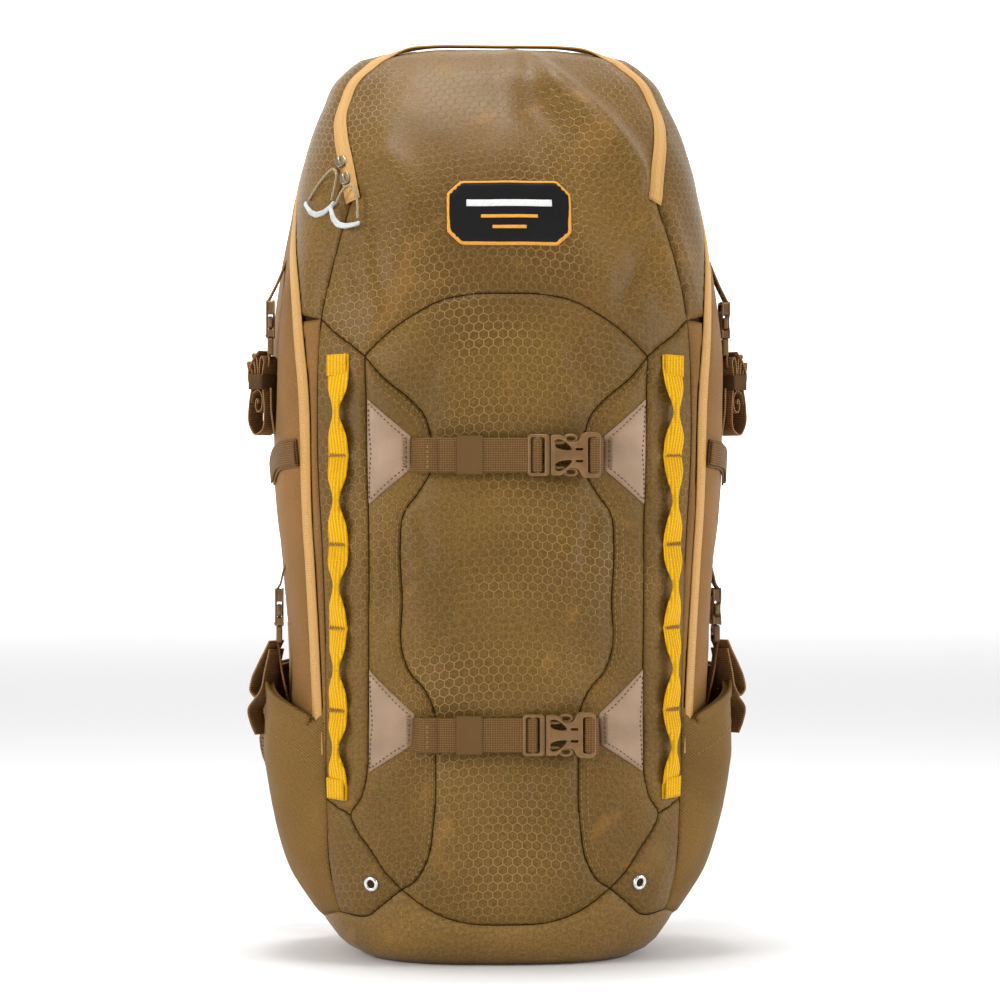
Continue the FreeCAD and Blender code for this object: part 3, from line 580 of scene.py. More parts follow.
def add_piece(name, mesh, look, body, *nodes, smooth=True):
    """Put a mesh in the scene as a piece that rides on a body (if it has one) and stands for CAD nodes."""
    piece = bpy.data.objects.new(name, mesh)
    bpy.context.scene.collection.objects.link(piece)
    if look:
        mesh.materials.clear()
        mesh.materials.append(material(look))
    if smooth:
        mesh.polygons.foreach_set("use_smooth", [True] * len(mesh.polygons))
    if body:
        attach(piece, body)
    if nodes:
        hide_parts(*nodes)
    return piece


def to_mesh(bm, name):
    """Finish a bmesh (already in metres) as a mesh."""
    mesh = bpy.data.meshes.new(name)
    bm.to_mesh(mesh)
    bm.free()
    return mesh


def write_plan(bm, places):
    """Store a pair of cloth distances for each vertex in the piece's own plan."""
    layer = bm.loops.layers.uv.new("Plan")
    for face in bm.faces:
        for loop in face.loops:
            loop[layer].uv = places[loop.vert.index]


class Panel:
    """Sewn panel: cut flat from its outline, laid over the pack, puffed up and rolled into its seams."""

    def __init__(self, outline, edge=1.3, roll=3.5, puff=2.5, spread=28, rim=4.0, share=1.0, lift=None):
        self.outline = np.asarray(outline, float)
        self.edge, self.roll, self.puff, self.spread = edge, roll, puff, spread
        self.rim, self.share, self.lift = rim, share, lift

    def height(self, plan):
        """Height of the cloth over the smooth pack."""
        away = distance_to(plan, self.outline, closed=True)
        rolled = np.sqrt(np.maximum(1 - (1 - np.clip(away / self.roll, 0, 1)) ** 2, 0))
        share = np.clip(away / 12, 0.15, 1) * self.share
        height = -0.6 + self.edge * rolled + self.puff * (1 - np.exp(-away / self.spread))
        height = height + share * relief(plan[:, 0], plan[:, 1])
        return height + self.lift(plan, away) if self.lift else height

    def on(self, line, extra=0.0):
        """Points and normals on the cloth along a plan line."""
        line = np.asarray(line, float)
        return pack.at(line[:, 0], line[:, 1], self.height(line) + extra)

    def lay(self, plan, height):
        """Points of the cloth in space, and its own plan in metres."""
        points, _ = pack.at(plan[:, 0], plan[:, 1], height)
        return points, np.stack(pack.cloth_place(plan[:, 0], plan[:, 1]), axis=1)

    def flat_net(self, grid):
        """The outline cut into small faces, still flat."""
        bm = bmesh.new()
        bm.faces.new([bm.verts.new((a, b, 0)) for a, b in self.outline])
        low, high = self.outline.min(axis=0), self.outline.max(axis=0)
        for axis, normal in ((0, (1, 0, 0)), (1, (0, 1, 0))):
            for cut in np.arange(math.floor(low[axis] / grid) * grid + grid * 0.37, high[axis], grid):
                point = (cut, 0, 0) if axis == 0 else (0, cut, 0)
                bmesh.ops.bisect_plane(bm, geom=bm.verts[:] + bm.edges[:] + bm.faces[:], dist=1e-4,
                                       plane_co=point, plane_no=normal)
        bmesh.ops.remove_doubles(bm, verts=bm.verts, dist=0.05)
        bmesh.ops.triangulate(bm, faces=[face for face in bm.faces if len(face.verts) > 4])
        return bm

    def build(self, name, look, body, *nodes, grid=4.5):
        """Make the piece."""
        bm = self.flat_net(grid)
        for face in bm.faces:
            if face.normal.z < 0:
                face.normal_flip()
        border = [edge for edge in bm.edges if edge.is_boundary]
        grown = bmesh.ops.extrude_edge_only(bm, edges=border)["geom"]
        sunk = {item for item in grown if isinstance(item, bmesh.types.BMVert)}
        bm.verts.index_update()
        plan = np.array([vert.co.xy[:] for vert in bm.verts])
        height = self.height(plan) - self.rim * np.array([vert in sunk for vert in bm.verts])
        points, cloth = self.lay(plan, height)
        points[:, 2] = np.maximum(points[:, 2], 0.2)
        for vert, point in zip(bm.verts, points):
            vert.co = Vector(point) * MM
        write_plan(bm, cloth)
        return add_piece(name, to_mesh(bm, name), look, body, *nodes)


class LevelPanel(Panel):
    """Panel that lies level on top of the pack: its outline is x and y."""

    def lay(self, plan, height):
        return np.column_stack([plan, TOP + height]), plan * MM


def strip_sweep(name, points, across, wide, thick, look, body, *nodes, plan_shift=0.0, crown=0.0):
    """Flat webbing along a line; `across`, `wide` and the bow of its section may change along it."""
    points = np.asarray(points, float)
    count = len(points)
    across = np.broadcast_to(np.asarray(across, float), (count, 3))
    wide, crown = np.broadcast_to(wide, (count,)), np.broadcast_to(crown, (count,))
    tangent = np.gradient(points, axis=0)
    tangent /= np.linalg.norm(tangent, axis=1)[:, None]
    across = across - tangent * np.sum(across * tangent, axis=1)[:, None]
    across = across / np.linalg.norm(across, axis=1)[:, None]
    away = np.cross(tangent, across)
    run = np.concatenate(([0], np.cumsum(np.linalg.norm(np.diff(points, axis=0), axis=1))))
    section = [(-0.5, -0.28), (-0.47, -0.5), (-0.25, -0.5), (0, -0.5), (0.25, -0.5), (0.47, -0.5),
               (0.5, -0.28), (0.5, 0.28), (0.47, 0.5), (0.25, 0.5), (0, 0.5), (-0.25, 0.5), (-0.47, 0.5),
               (-0.5, 0.28)]
    bm = bmesh.new()
    places, rings = [], []
    for k in range(count):
        ring = []
        for u, v in section:
            out = v * thick + crown[k] * (1 - (2 * u) ** 2)
            ring.append(bm.verts.new((points[k] + across[k] * u * wide[k] + away[k] * out) * MM))
            places.append(((run[k] + plan_shift) * MM, u * wide[k] * MM))
        rings.append([bm.edges.new(pair) for pair in zip(ring, ring[1:] + ring[:1])])
    for one, two in zip(rings, rings[1:]):
        bmesh.ops.bridge_loops(bm, edges=one + two)
    bmesh.ops.holes_fill(bm, edges=rings[0] + rings[-1], sides=0)
    bm.verts.index_update()
    write_plan(bm, places)
    bmesh.ops.recalc_face_normals(bm, faces=bm.faces)
    return add_piece(name, to_mesh(bm, name), look, body, *nodes)


def rounded(points, radius, steps=4):
    """Closed 2-D outline with its corners rounded."""
    out = []
    count = len(points)
    for k in range(count):
        before, here, after = (Vector(points[(k + d) % count]) for d in (-1, 0, 1))
        one, two = before - here, after - here
        reach = min(radius, one.length * 0.45, two.length * 0.45)
        start, end = here + one.normalized() * reach, here + two.normalized() * reach
        for step in range(steps + 1):
            t = step / steps
            out.append(start * (1 - t) ** 2 + here * 2 * t * (1 - t) + end * t ** 2)
    return [tuple(point) for point in out]


def flat_plate(name, outlines, thick, bevel=0.5):
    """Mesh of a bevelled plate; the outlines after the first are holes.  In millimetres."""
    data = bpy.data.curves.new(name, "CURVE")
    data.dimensions = "2D"
    data.fill_mode = "BOTH"
    data.extrude = thick / 2 - bevel
    data.bevel_depth = bevel
    data.bevel_resolution = 2
    data.offset = -bevel
    for outline in outlines:
        spline = data.splines.new("POLY")
        spline.points.add(len(outline) - 1)
        for point, (x, y) in zip(spline.points, outline):
            point.co = (x, y, 0, 1)
        spline.use_cyclic_u = True
    holder = bpy.data.objects.new(name, data)
    mesh = bpy.data.meshes.new_from_object(holder)
    bpy.data.objects.remove(holder)
    bpy.data.curves.remove(data)
    bm = bmesh.new()
    bm.from_mesh(mesh)
    bmesh.ops.remove_doubles(bm, verts=bm.verts, dist=0.004)
    bpy.data.meshes.remove(mesh)
    return bm


def box_of(low, high):
    """Corners of a rectangle."""
    return [(low[0], low[1]), (high[0], low[1]), (high[0], high[1]), (low[0], high[1])]


def place_bmesh(parts, matrix, name):
    """Join bmeshes and put them where the matrix says, in metres."""
    whole = bmesh.new()
    for part in parts:
        mesh = to_mesh(part, "part")
        whole.from_mesh(mesh)
        bpy.data.meshes.remove(mesh)
    whole.transform(Matrix.Scale(MM, 4) @ matrix)
    bmesh.ops.recalc_face_normals(whole, faces=whole.faces)
    mesh = to_mesh(whole, name)
    return mesh


def moved(bm, offset):
    """The bmesh, shifted."""
    bm.transform(Matrix.Translation(offset))
    return bm


def round_bar(points, radius, sides=8, closed=False):
    """Bmesh of a round bar along points."""
    data = bpy.data.curves.new("bar", "CURVE")
    data.dimensions = "3D"
    data.bevel_depth = radius
    data.bevel_resolution = max(sides // 4, 1)
    data.use_fill_caps = not closed
    spline = data.splines.new("POLY")
    spline.points.add(len(points) - 1)
    for target, point in zip(spline.points, points):
        target.co = (*point, 1)
    spline.use_cyclic_u = closed
    holder = bpy.data.objects.new("bar", data)
    mesh = bpy.data.meshes.new_from_object(holder)
    bpy.data.objects.remove(holder)
    bm = bmesh.new()
    bm.from_mesh(mesh)
    bpy.data.meshes.remove(mesh)
    bpy.data.curves.remove(data)
    return bm


def add_bar(name, path, radius, sides, look, body="pack", closed=False):
    """Round bar or cord along a path, as a piece of its own."""
    bar = round_bar(path, radius, sides, closed=closed)
    bar.transform(Matrix.Scale(MM, 4))
    return add_piece(name, to_mesh(bar, name), look, body)


def stitch_row(name, points, normals, look, body, long=2.6, gap=1.5, thick=0.55):
    """Row of separate thread stitches lying on a surface."""
    points, normals = np.asarray(points, float), np.asarray(normals, float)
    run = np.concatenate(([0], np.cumsum(np.linalg.norm(np.diff(points, axis=0), axis=1))))
    bm = bmesh.new()
    for start in np.arange(gap, run[-1] - long, long + gap):
        ends = [Vector([np.interp(place, run, column) for column in points.T])
                for place in (start, start + long)]
        normal = Vector([np.interp(start, run, column) for column in normals.T]).normalized()
        along = (ends[1] - ends[0]).normalized()
        side = normal.cross(along).normalized()
        turn = Matrix((along, side, normal)).transposed().to_4x4()
        centre = (ends[0] + ends[1]) / 2 + normal * thick * 0.15
        size = Matrix.Diagonal((long * 0.62, thick * 0.8, thick * 0.75, 1))
        spot = Matrix.Scale(MM, 4) @ Matrix.Translation(centre) @ turn @ size
        bmesh.ops.create_icosphere(bm, subdivisions=1, radius=1.0, matrix=spot)
    return add_piece(name, to_mesh(bm, name), look, body)


def join_pieces(name, pieces):
    """Merge pieces of one body and look into one."""
    first = pieces[0]
    bm = bmesh.new()
    for piece in pieces:
        bm.from_mesh(piece.data)
    mesh = to_mesh(bm, name)
    mesh.materials.append(first.data.materials[0])
    mesh.polygons.foreach_set("use_smooth", [True] * len(mesh.polygons))
    for piece in pieces[1:]:
        bpy.data.objects.remove(piece)
    first.data = mesh
    first.name = name
    return first


# ------------------------------------------------------------------ the sewn shell

def front_of(run):
    """Index of the place on the yoke's edge where the strip's foot begins."""
    return int(np.argmin(np.hypot(*(run - strip_foot[0]).T)))


contour = front_path(CONTOUR, 3.0)
arch = front_path(ARCH, 4.0)
hem = front_path(HEM, 4.0)
yoke_edge = front_path(YOKE_EDGE, 4.0)
fold_edge = front_path([(131, 461), (133.5, 420), (134, 380), (131.5, 320), (129, 262), (127.5, 190),
                        (127, 118)], 5.0)
corner_seam = front_path([(100.5, 434), (110, 442), (119, 449), (131, 461)], 3.0)
strip_foot = front_path([(110, 108), (118, 112), (127, 118)], 3.0)
low_edge = front_path([(127, 118), (126, 80), (117, 36)], 4.0)
base_seam = front_path([(74, 56), (87, 45), (97, 36), (117, 36)], 3.0)
lid_fold = front_path([(131, 461), (125, 490), (117, 520), (107, 553)], 4.0)
main_zip_line = side_path(MAIN_ZIP, step=5.0)
lid_zip_line = front_path(LID_ZIP, 4.0)
back_edge = side_path([(60, 190), (60, 300), (60, 450), (60, 560), (58, 620), (56, 664)], step=8.0)
yoke_above, yoke_below = yoke_edge[:front_of(yoke_edge) + 1], yoke_edge[front_of(yoke_edge):]
cup_front = np.vstack([fold_edge[fold_edge[:, 1] < 188], low_edge[1:]])
cup_back = side_path([(68, 212), (68, 120), (66, 30)], step=5.0)
OVER, ROUND = 671, PLANE_WIDE - 0.2


def zip_edge(line, side):
    """Line beside a zip, 5 mm off its middle, carried on over the top edge of the pack."""
    run = np.gradient(line, axis=0)
    run /= np.linalg.norm(run, axis=1)[:, None]
    beside = line + side * 5.0 * np.stack([run[:, 1], -run[:, 0]], axis=1)
    return np.vstack([beside, [(beside[-1][0], OVER)]])


def cup_lift(plan, away):
    """Bulge of a side pocket: closed at its foot and its two edges, open and full at its top."""
    rise = np.interp(plan[:, 1], (26, 42, 63, 85, 111, 147, 182, 218), (1, 4, 9, 13, 17.5, 21, 19.5, 17.5))
    right = np.abs(plan[:, :1]) * (1, 0) + plan[:, 1:] * (0, 1)
    edges = np.minimum(distance_to(right, cup_front), distance_to(right, cup_back))
    return rise * np.sin(np.clip(edges / 66, 0, 1) * math.pi / 2) ** 1.1


def pressed(plan, away):
    """Hollows that the side straps press into the cloth under their buckles."""
    near = np.exp(-((np.abs(plan[:, 0]) - pack.from_y(-30, 430)[0]) / 28) ** 2)
    levels = [np.exp(-((plan[:, 1] - middle) / reach) ** 4) for middle, reach in ((438, 66), (240, 52))]
    return -3.8 * near * np.maximum(*levels)


inner_zip, outer_zip = zip_edge(lid_zip_line, -1), zip_edge(lid_zip_line, 1)
zip_front, zip_back = zip_edge(main_zip_line, -1), zip_edge(main_zip_line, 1)
high_zip, low_zip = zip_front[zip_front[:, 1] > 461], zip_front[zip_front[:, 1] <= 463]
over_back = np.vstack([back_edge, [(back_edge[-1][0], OVER)]])
base_line = resample([(165, 36), (360, 36), (ROUND, 36)], 8, smooth=False)
foot_line = resample([(ROUND, 36), (ROUND, -92), (-ROUND, -92), (-ROUND, 36)], 8, smooth=False)

front_pocket = Panel(loop_of(contour, hem, flip(contour), arch), puff=6.5, spread=24, roll=4)
lid_front = Panel(loop_of(arch, corner_seam, lid_fold, inner_zip, flip(inner_zip), flip(lid_fold),
                          flip(corner_seam)), puff=3.0, spread=30)
# name, cloth, CAD nodes it stands for, panel on the right half; each has a twin on the left half
SIDE_PANELS = (
    ("Yoke", "RipstopLow", ("front_panel",), Panel(loop_of(yoke_edge, contour[::-1]), puff=1.2, spread=12),
     4.0),
    ("Strip", "RipstopLow", ("strip_panels",),
     Panel(loop_of(corner_seam, fold_edge, strip_foot[::-1], yoke_above[::-1]), puff=1.0, spread=10,
           edge=1.5), 4.0),
    ("LowSide", "RipstopLow", (), Panel(loop_of(strip_foot, low_edge, base_seam[::-1], yoke_below[::-1]),
                                        puff=2.0, spread=16), 4.0),
    ("LidSide", "RipstopLid", (), Panel(loop_of(corner_seam[-1:], high_zip, outer_zip[::-1], lid_fold[::-1]),
                                        puff=2.0, spread=18), 5.0),
    ("Gusset", "SideCloth", (), Panel(loop_of(fold_edge[::-1], low_zip[::-1]), puff=0.5, spread=8), 5.0),
    ("SidePanel", "SideCloth", ("side_panel",),
     Panel(loop_of([(166, 50)], zip_back, over_back[::-1], [(358, 50)]), puff=3.0, spread=30,
           lift=pressed), 6.0),
    ("Back", "SideCloth", ("back_panel",),
     Panel(resample([(354, 40), (337, 600), (334, OVER), (706, OVER), (703, 600), (686, 40)], 8, closed=True,
                    smooth=False)[:-1], puff=1.5, spread=30), 8.0),
)


def turned(panel):
    """The same panel on the left half."""
    return Panel(flip(panel.outline), panel.edge, panel.roll, panel.puff, panel.spread, panel.rim,
                 panel.share, panel.lift)


def make_core():
    """Dark sheet under the panels, painted shade that shows only in their seams."""
    bm = bmesh.new()
    bmesh.ops.create_grid(bm, x_segments=130, y_segments=100, size=1)
    low, high = -BASE_CAP + 8, TOP + TOP_CAP - 6
    plan = np.array([(v.co.x * PLANE_WIDE, low + (v.co.y + 1) / 2 * (high - low)) for v in bm.verts])
    points, _ = pack.at(plan[:, 0], plan[:, 1], -2.6 + np.minimum(relief(plan[:, 0], plan[:, 1]), 0))
    for vert, point in zip(bm.verts, points):
        vert.co = Vector(point) * MM
    bmesh.ops.remove_doubles(bm, verts=bm.verts, dist=0.0002)
    bmesh.ops.holes_fill(bm, edges=[edge for edge in bm.edges if edge.is_boundary], sides=0)
    bmesh.ops.recalc_face_normals(bm, faces=bm.faces)
    return add_piece("SeamShadeSheet", to_mesh(bm, "SeamShadeSheet"), "SeamShadow", "pack")


def make_shell():
    """Every cloth panel of the pack."""
    make_core()
    front_pocket.build("FrontPocket", "Ripstop", "pack", "front_pocket", grid=3.6)
    lid_front.build("LidFront", "RipstopLid", "pack", "lid_panel", grid=4.0)
    for name, cloth, nodes, panel, grid in SIDE_PANELS:
        stands = [node + ("_right" if node == "side_panel" else "") for node in nodes]
        if name == "Back":
            panel.build(name, cloth, "pack", *stands, grid=grid)
            continue
        panel.build(name + "Right", cloth, "pack", *stands, grid=grid)
        stands = ["side_panel_left"] if name == "SidePanel" else []
        turned(panel).build(name + "Left", cloth, "pack", *stands, grid=grid)
    rim, _ = pack.at(np.linspace(-ROUND, ROUND, 110)[:-1], np.full(109, OVER))
    top = LevelPanel(rim[:, :2], puff=3.4, spread=16, share=0)
    top.build("TopPanel", "RipstopLid", "pack", grid=6)
    base = Panel(loop_of(hem[::-1], base_seam, base_line, foot_line, flip(base_line), flip(base_seam)),
                 puff=2.5, spread=26)
    base.build("Base", "RipstopBase", "pack", "base_panel", grid=6)


def make_side_pockets():
    """Stretched pockets low on both sides, open at the top, their rim rising to the back."""
    top = side_path([(-97, 174), (-80, 184), (-50, 196), (-20, 203), (30, 208), (68, 212)], step=4.0)
    foot = resample([cup_back[-1], (240, 27), cup_front[-1]], 5.0)
    outline = loop_of(top, cup_back, foot, cup_front[::-1])
    pocket = Panel(outline, puff=0.5, spread=10, share=0.7, lift=cup_lift)
    hem_line, row = top[1:-1] - (0, 1.5), top[1:-1] - (0, 27)
    for side, tag, twin in ((1, "Right", pocket), (-1, "Left", turned(pocket))):
        points, normals = twin.on(hem_line * (side, 1), 0.3)
        across = np.cross(np.gradient(points, axis=0), normals)
        strip_sweep("PocketHem" + tag, points, across, 7, 2.4, "PocketCloth", "pack")
        points, normals = twin.on(row * (side, 1), 0.0)
        stitch_row("PocketStitch" + tag, points, normals, "Thread", "pack")
    pocket.build("SidePocketRight", "PocketCloth", "pack", "side_pocket_right")
    turned(pocket).build("SidePocketLeft", "PocketCloth", "pack", "side_pocket_left")


# ------------------------------------------------------------------ things sewn on the cloth

def holds(panel, plan):
    """Which plan points lie inside a panel."""
    inside = np.zeros(len(plan), bool)
    for (a0, b0), (a1, b1) in zip(panel.outline, np.roll(panel.outline, -1, axis=0)):
        if b0 == b1:
            continue
        crosses = (plan[:, 1] < b0) != (plan[:, 1] < b1)
        inside ^= crosses & (plan[:, 0] < a0 + (a1 - a0) * (plan[:, 1] - b0) / (b1 - b0))
    return inside


def cloth_height(plan):
    """Height of whatever cloth lies at each plan point."""
    height = np.full(len(plan), -0.4)
    for panel in [front_pocket, lid_front] + [turned_panel for *_, one, _ in SIDE_PANELS[:6]
                                              for turned_panel in (one, turned(one))]:
        inside = holds(panel, plan)
        if inside.any():
            height[inside] = panel.height(plan[inside])
    return height


def over_cloth(plan, reach=3.0):
    """Height that clears the cloth around each plan point."""
    plan = np.asarray(plan, float)
    return np.max([cloth_height(plan + shift) for shift in
                   ((0, 0), (reach, 0), (-reach, 0), (0, reach), (0, -reach))], axis=0)


def laid_on(line, extra, across_line=None):
    """Points, normals and across directions of something laid along a plan line."""
    points, normals = pack.at(line[:, 0], line[:, 1], over_cloth(line) + extra)
    tangent = np.gradient(points, axis=0)
    return points, normals, np.cross(tangent, normals)


def seam_stitches(name, panel, line, inset, look="Thread", body="pack", **sizes):
    """Topstitching beside a panel's edge, `inset` inside it."""
    run = np.gradient(line, axis=0)
    run /= np.linalg.norm(run, axis=1)[:, None]
    beside = line + inset * np.stack([run[:, 1], -run[:, 0]], axis=1)
    points, normals = panel.on(beside)
    return stitch_row(name, points, normals, look, body, **sizes)


PATCHES = (
    ("Upper", [(98, 403), (68, 377), (68, 353.5), (97, 329)]),
    ("Lower", [(96.5, 211.5), (65, 181), (66.5, 159), (96.5, 139)]),
)


def make_patches():
    """Leatherette patches where the straps are sewn down, each with its stitching."""
    first = True
    for name, corners in PATCHES:
        edge = resample([pack.from_x(x, z) for x, z in corners], 2.5, closed=True, smooth=False)[:-1]
        for side in (1, -1):
            outline = edge if side > 0 else flip(edge)
            patch = Panel(outline, edge=1.0, roll=1.2, puff=0.3, spread=6, share=0,
                          lift=lambda plan, away: over_cloth(plan) + 1.3, rim=2.6)
            tag = name + ("Right" if side > 0 else "Left")
            nodes = ("leather_patches",) if first else ()
            patch.build("Patch" + tag, "Leatherette", "pack", *nodes, grid=3.0)
            first = False
            middle = outline.mean(axis=0)
            inset = outline + (middle - outline) / np.linalg.norm(middle - outline, axis=1)[:, None] * 3.2
            points, normals = patch.on(np.vstack([inset, inset[:1]]), 0.05)
            stitch_row("PatchStitch" + tag, points, normals, "DarkThread", "pack", long=1.7, gap=1.7)
            tip = min(x for x, _ in corners) + 4
            level = sum(z for _, z in corners[1:3]) / 2
            zigzag = np.array([pack.from_x(side * (tip + (1.6 if k % 2 else -1.6)), level - 11 + k * 1.1)
                               for k in range(21)])
            points, _ = patch.on(zigzag, 0.35)
            add_bar("PatchTack" + tag, [tuple(point) for point in points], 0.42, 4, "BartackThread")


def seam_shade_line(line):
    """Painted shade of a seam: a dark bar down between two panels."""
    points, _ = pack.at(line[:, 0], line[:, 1], 0.15 * relief(line[:, 0], line[:, 1]) - 0.65)
    return add_bar("SeamLine", [tuple(point) for point in points], 0.55, 8, "SeamShadow")


def make_topstitching():
    """Rows of stitches along the panels' seams, and dark bars of painted shade in the seams."""
    rows, shade_lines = [], []
    for side in (1, -1):
        def turn(line):
            return line if side > 0 else flip(line)
        yoke = SIDE_PANELS[0][3] if side > 0 else turned(SIDE_PANELS[0][3])
        for inset in (-2.4, -7.5):
            rows.append(seam_stitches("Topstitch", yoke, turn(contour)[2:-4], inset))
        for line in (contour, yoke_edge, corner_seam, strip_foot, base_seam, lid_fold, low_edge, fold_edge):
            shade_lines.append(seam_shade_line(turn(line)))
    shade_lines += [seam_shade_line(arch), seam_shade_line(hem)]
    join_pieces("Topstitching", rows)
    join_pieces("SeamLines", shade_lines)


LABEL = [(-41, 521), (-32, 512.5), (36, 512.5), (45, 521), (45, 548), (36, 556.5), (-32, 556.5), (-41, 548)]


def make_label():
    """Plain eight-sided cloth label: black field, overlocked border and two woven bars."""
    outline = resample([pack.from_x(x, z) for x, z in LABEL], 2.5, closed=True, smooth=False)[:-1]
    label = Panel(outline, edge=1.2, roll=1.0, puff=0.2, spread=10, share=0,
                  lift=lambda plan, away: over_cloth(plan) + 0.9, rim=2.0)
    label.build("LabelField", "LabelCloth", "pack", "label_patch", grid=3.0)
    points, normals = label.on(np.vstack([outline, outline[:1]]), -0.2)
    centre = points[:-1].mean(axis=0)
    points = centre + (points - centre) * 0.985
    add_bar("LabelEdge", points[:-1], 1.5, 8, "LabelEdge", closed=True)
    for k, (z, half, wide) in enumerate(((541, 30, 5.0), (531.5, 20, 2.4), (524, 12, 2.4))):
        line = front_path([(2 - half, z), (2 + half, z)], 3.0)
        points, normals = label.on(line, 0.15)
        across = np.cross(np.gradient(points, axis=0), normals)
        look = "LabelWhite" if k == 0 else "LabelEdge"
        strip_sweep("LabelBar%d" % k, points, across, wide, 0.6, look, "pack")


def turned_ring(name, profile, place, normal, look, *nodes):
    """Round part spun from its profile (radius, height) about a surface's normal."""
    bm = bmesh.new()
    verts = [bm.verts.new((r, 0, h)) for r, h in profile]
    edges = [bm.edges.new((a, b)) for a, b in zip(verts, verts[1:] + verts[:1])]
    bmesh.ops.spin(bm, geom=verts + edges, axis=(0, 0, 1), cent=(0, 0, 0), steps=32, angle=2 * math.pi,
                   use_duplicate=False)
    bmesh.ops.remove_doubles(bm, verts=bm.verts, dist=0.001)
    turn = Vector(normal).to_track_quat("Z", "Y").to_matrix().to_4x4()
    bm.transform(Matrix.Scale(MM, 4) @ Matrix.Translation(Vector(place)) @ turn)
    bmesh.ops.recalc_face_normals(bm, faces=bm.faces)
    return add_piece(name, to_mesh(bm, name), look, "pack", *nodes)


def make_eyelets():
    """Drain eyelets low on both sides of the front, each over a dark disc of painted shade in its hole."""
    for side, tag in ((1, "Right"), (-1, "Left")):
        a, b = pack.from_x(side * 94.5, 60)
        under = over_cloth([(a, b)])
        points, normals = pack.at([a], [b], under)
        ring = [(2.75, -1.6), (2.75, 0.4), (3.3, 1.25), (4.2, 1.5), (5.1, 1.1), (5.6, 0.2), (5.6, -1.2),
                (4.4, -1.6)]
        turned_ring("Eyelet" + tag, ring, points[0], normals[0], "EyeletMetal",
                    *(("drain_eyelets",) if side > 0 else ()))
        # flat dark disc: painted shade inside the eyelet's hole
        turned_ring("EyeletHole" + tag, [(0.01, 0.2), (2.9, 0.2), (2.9, -0.2), (0.01, -0.2)], points[0],
                    normals[0], "SeamShadow")


def make_chains():
    """Bright lash webbing down both strips, bar-tacked flat and standing up twisted in between."""
    tacks = []
    flat = chosen("pack_webbing").loop_width / MM
    rise = chosen("pack_webbing").loop_rise / MM
    for side, tag in ((1, "Right"), (-1, "Left")):
        levels = [BARTACKS[0] + 10]
        for high, low in zip(BARTACKS, BARTACKS[1:]):
            levels += list(np.linspace(high, low, 17)[:-1])
        levels += [BARTACKS[-1], BARTACKS[-1] - 10]
        levels = np.array(levels)
        phase = np.zeros(len(levels))
        for high, low in zip(BARTACKS, BARTACKS[1:]):
            inside = (levels < high) & (levels > low)
            phase[inside] = np.sin((high - levels[inside]) / (high - low) * math.pi)
        plan = np.array([pack.from_x(side * 118, z) for z in levels])
        base = over_cloth(plan, 6.0) + 0.9
        points, normals = pack.at(plan[:, 0], plan[:, 1], base)
        points[:, 0] = side * (118.5 + 2.0 * phase)
        points[:, 1] -= rise * phase ** 0.8
        sway = np.array([1.3 * noise.noise(Vector((z / 31, side * 4.0, 0.3))) for z in levels]) * phase
        points = points + np.stack([sway, np.zeros_like(sway), np.zeros_like(sway)], axis=1)
        tangent = np.gradient(points, axis=0)
        across = np.cross(tangent, normals)
        across /= np.linalg.norm(across, axis=1)[:, None]
        turn = np.array([0.5 * noise.noise(Vector((z / 44, side * 9.0, 5.0))) for z in levels]) * phase
        across = across + normals * turn[:, None]
        wide = flat * (1 - 0.73 * phase ** 5)
        strip_sweep("Chain" + tag, points, across, wide, 1.5, "LoopWebbing", "pack",
                    *(("daisy_chains",) if side > 0 else ()), crown=-2.4 * phase ** 2)
        for z in BARTACKS:
            lift = 1.6 if z in (BARTACKS[0], BARTACKS[-1]) else 0.8
            a, b = pack.from_x(side * 118, z)
            base_here = over_cloth([(a, b)], 6.0) + 0.9 + lift
            spot, normal = pack.at([a], [b], base_here)
            rows = [(-6.6 + k * 1.1, 1.1 if k % 2 else -1.1) for k in range(13)]
            across_here = Vector((1, 0, 0)) - Vector(normal[0]) * normal[0][0]
            across_here.normalize()
            up = Vector(normal[0]).cross(across_here)
            path = [Vector(spot[0]) + across_here * u + up * v for u, v in rows]
            tacks.append(add_bar("Bartack", path, 0.62, 4, "BartackThread"))
        for z, direction in ((BARTACKS[0] + 10, 1), (BARTACKS[-1] - 10, -1)):
            line = np.array([pack.from_x(side * 118, z - direction * d) for d in (0, 4, 8, 12, 15)])
            points, normals, across = laid_on(line, 2.5)
            strip_sweep("ChainEnd%s%d" % (tag, z), points, across, flat - 0.9, 1.4, "LoopWebbing", "pack")
    join_pieces("Bartacks", tacks)


# Where the zips cross the top of the pack: x, y, z and the sideways lean of the tape.
LID_OVER = ((66, -9, 665.8, 0.55), (48, -5, 668.6, 0.2), (25, -2, 669.4, 0.05), (0, 0, 669.6, 0))
MAIN_OVER = ((74, 45.5, 665.0, 0.6), (60, 44.5, 667.4, 0.25), (40, 44, 668.1, 0.05), (0, 44, 668.3, 0))


def make_zips():
    """Zip tapes of the lid and of the main opening, each carried over the top to the other side."""
    for name, line, node, wide, over in (("LidZip", lid_zip_line, "lid_zip", 11.5, LID_OVER),
                                         ("MainZip", main_zip_line, "main_zip", 11.0, MAIN_OVER)):
        plan = line[line[:, 1] < 660]
        points, normals = pack.at(plan[:, 0], plan[:, 1], 0.9 + 0.15 * relief(plan[:, 0], plan[:, 1]))
        right = np.vstack([np.hstack([points, normals]), [(x, y, z, lean, 0, 1) for x, y, z, lean in over]])
        run = resample(np.vstack([right, right[-2::-1] * (-1, 1, 1, -1, 1, 1)]), 3.0)
        across = np.cross(np.gradient(run[:, :3], axis=0), run[:, 3:])
        strip_sweep(name, run[:, :3], across, wide, 1.3, "ZipTape", "pack", node, crown=-0.6)


# ------------------------------------------------------------------ buckles, sliders and pulls

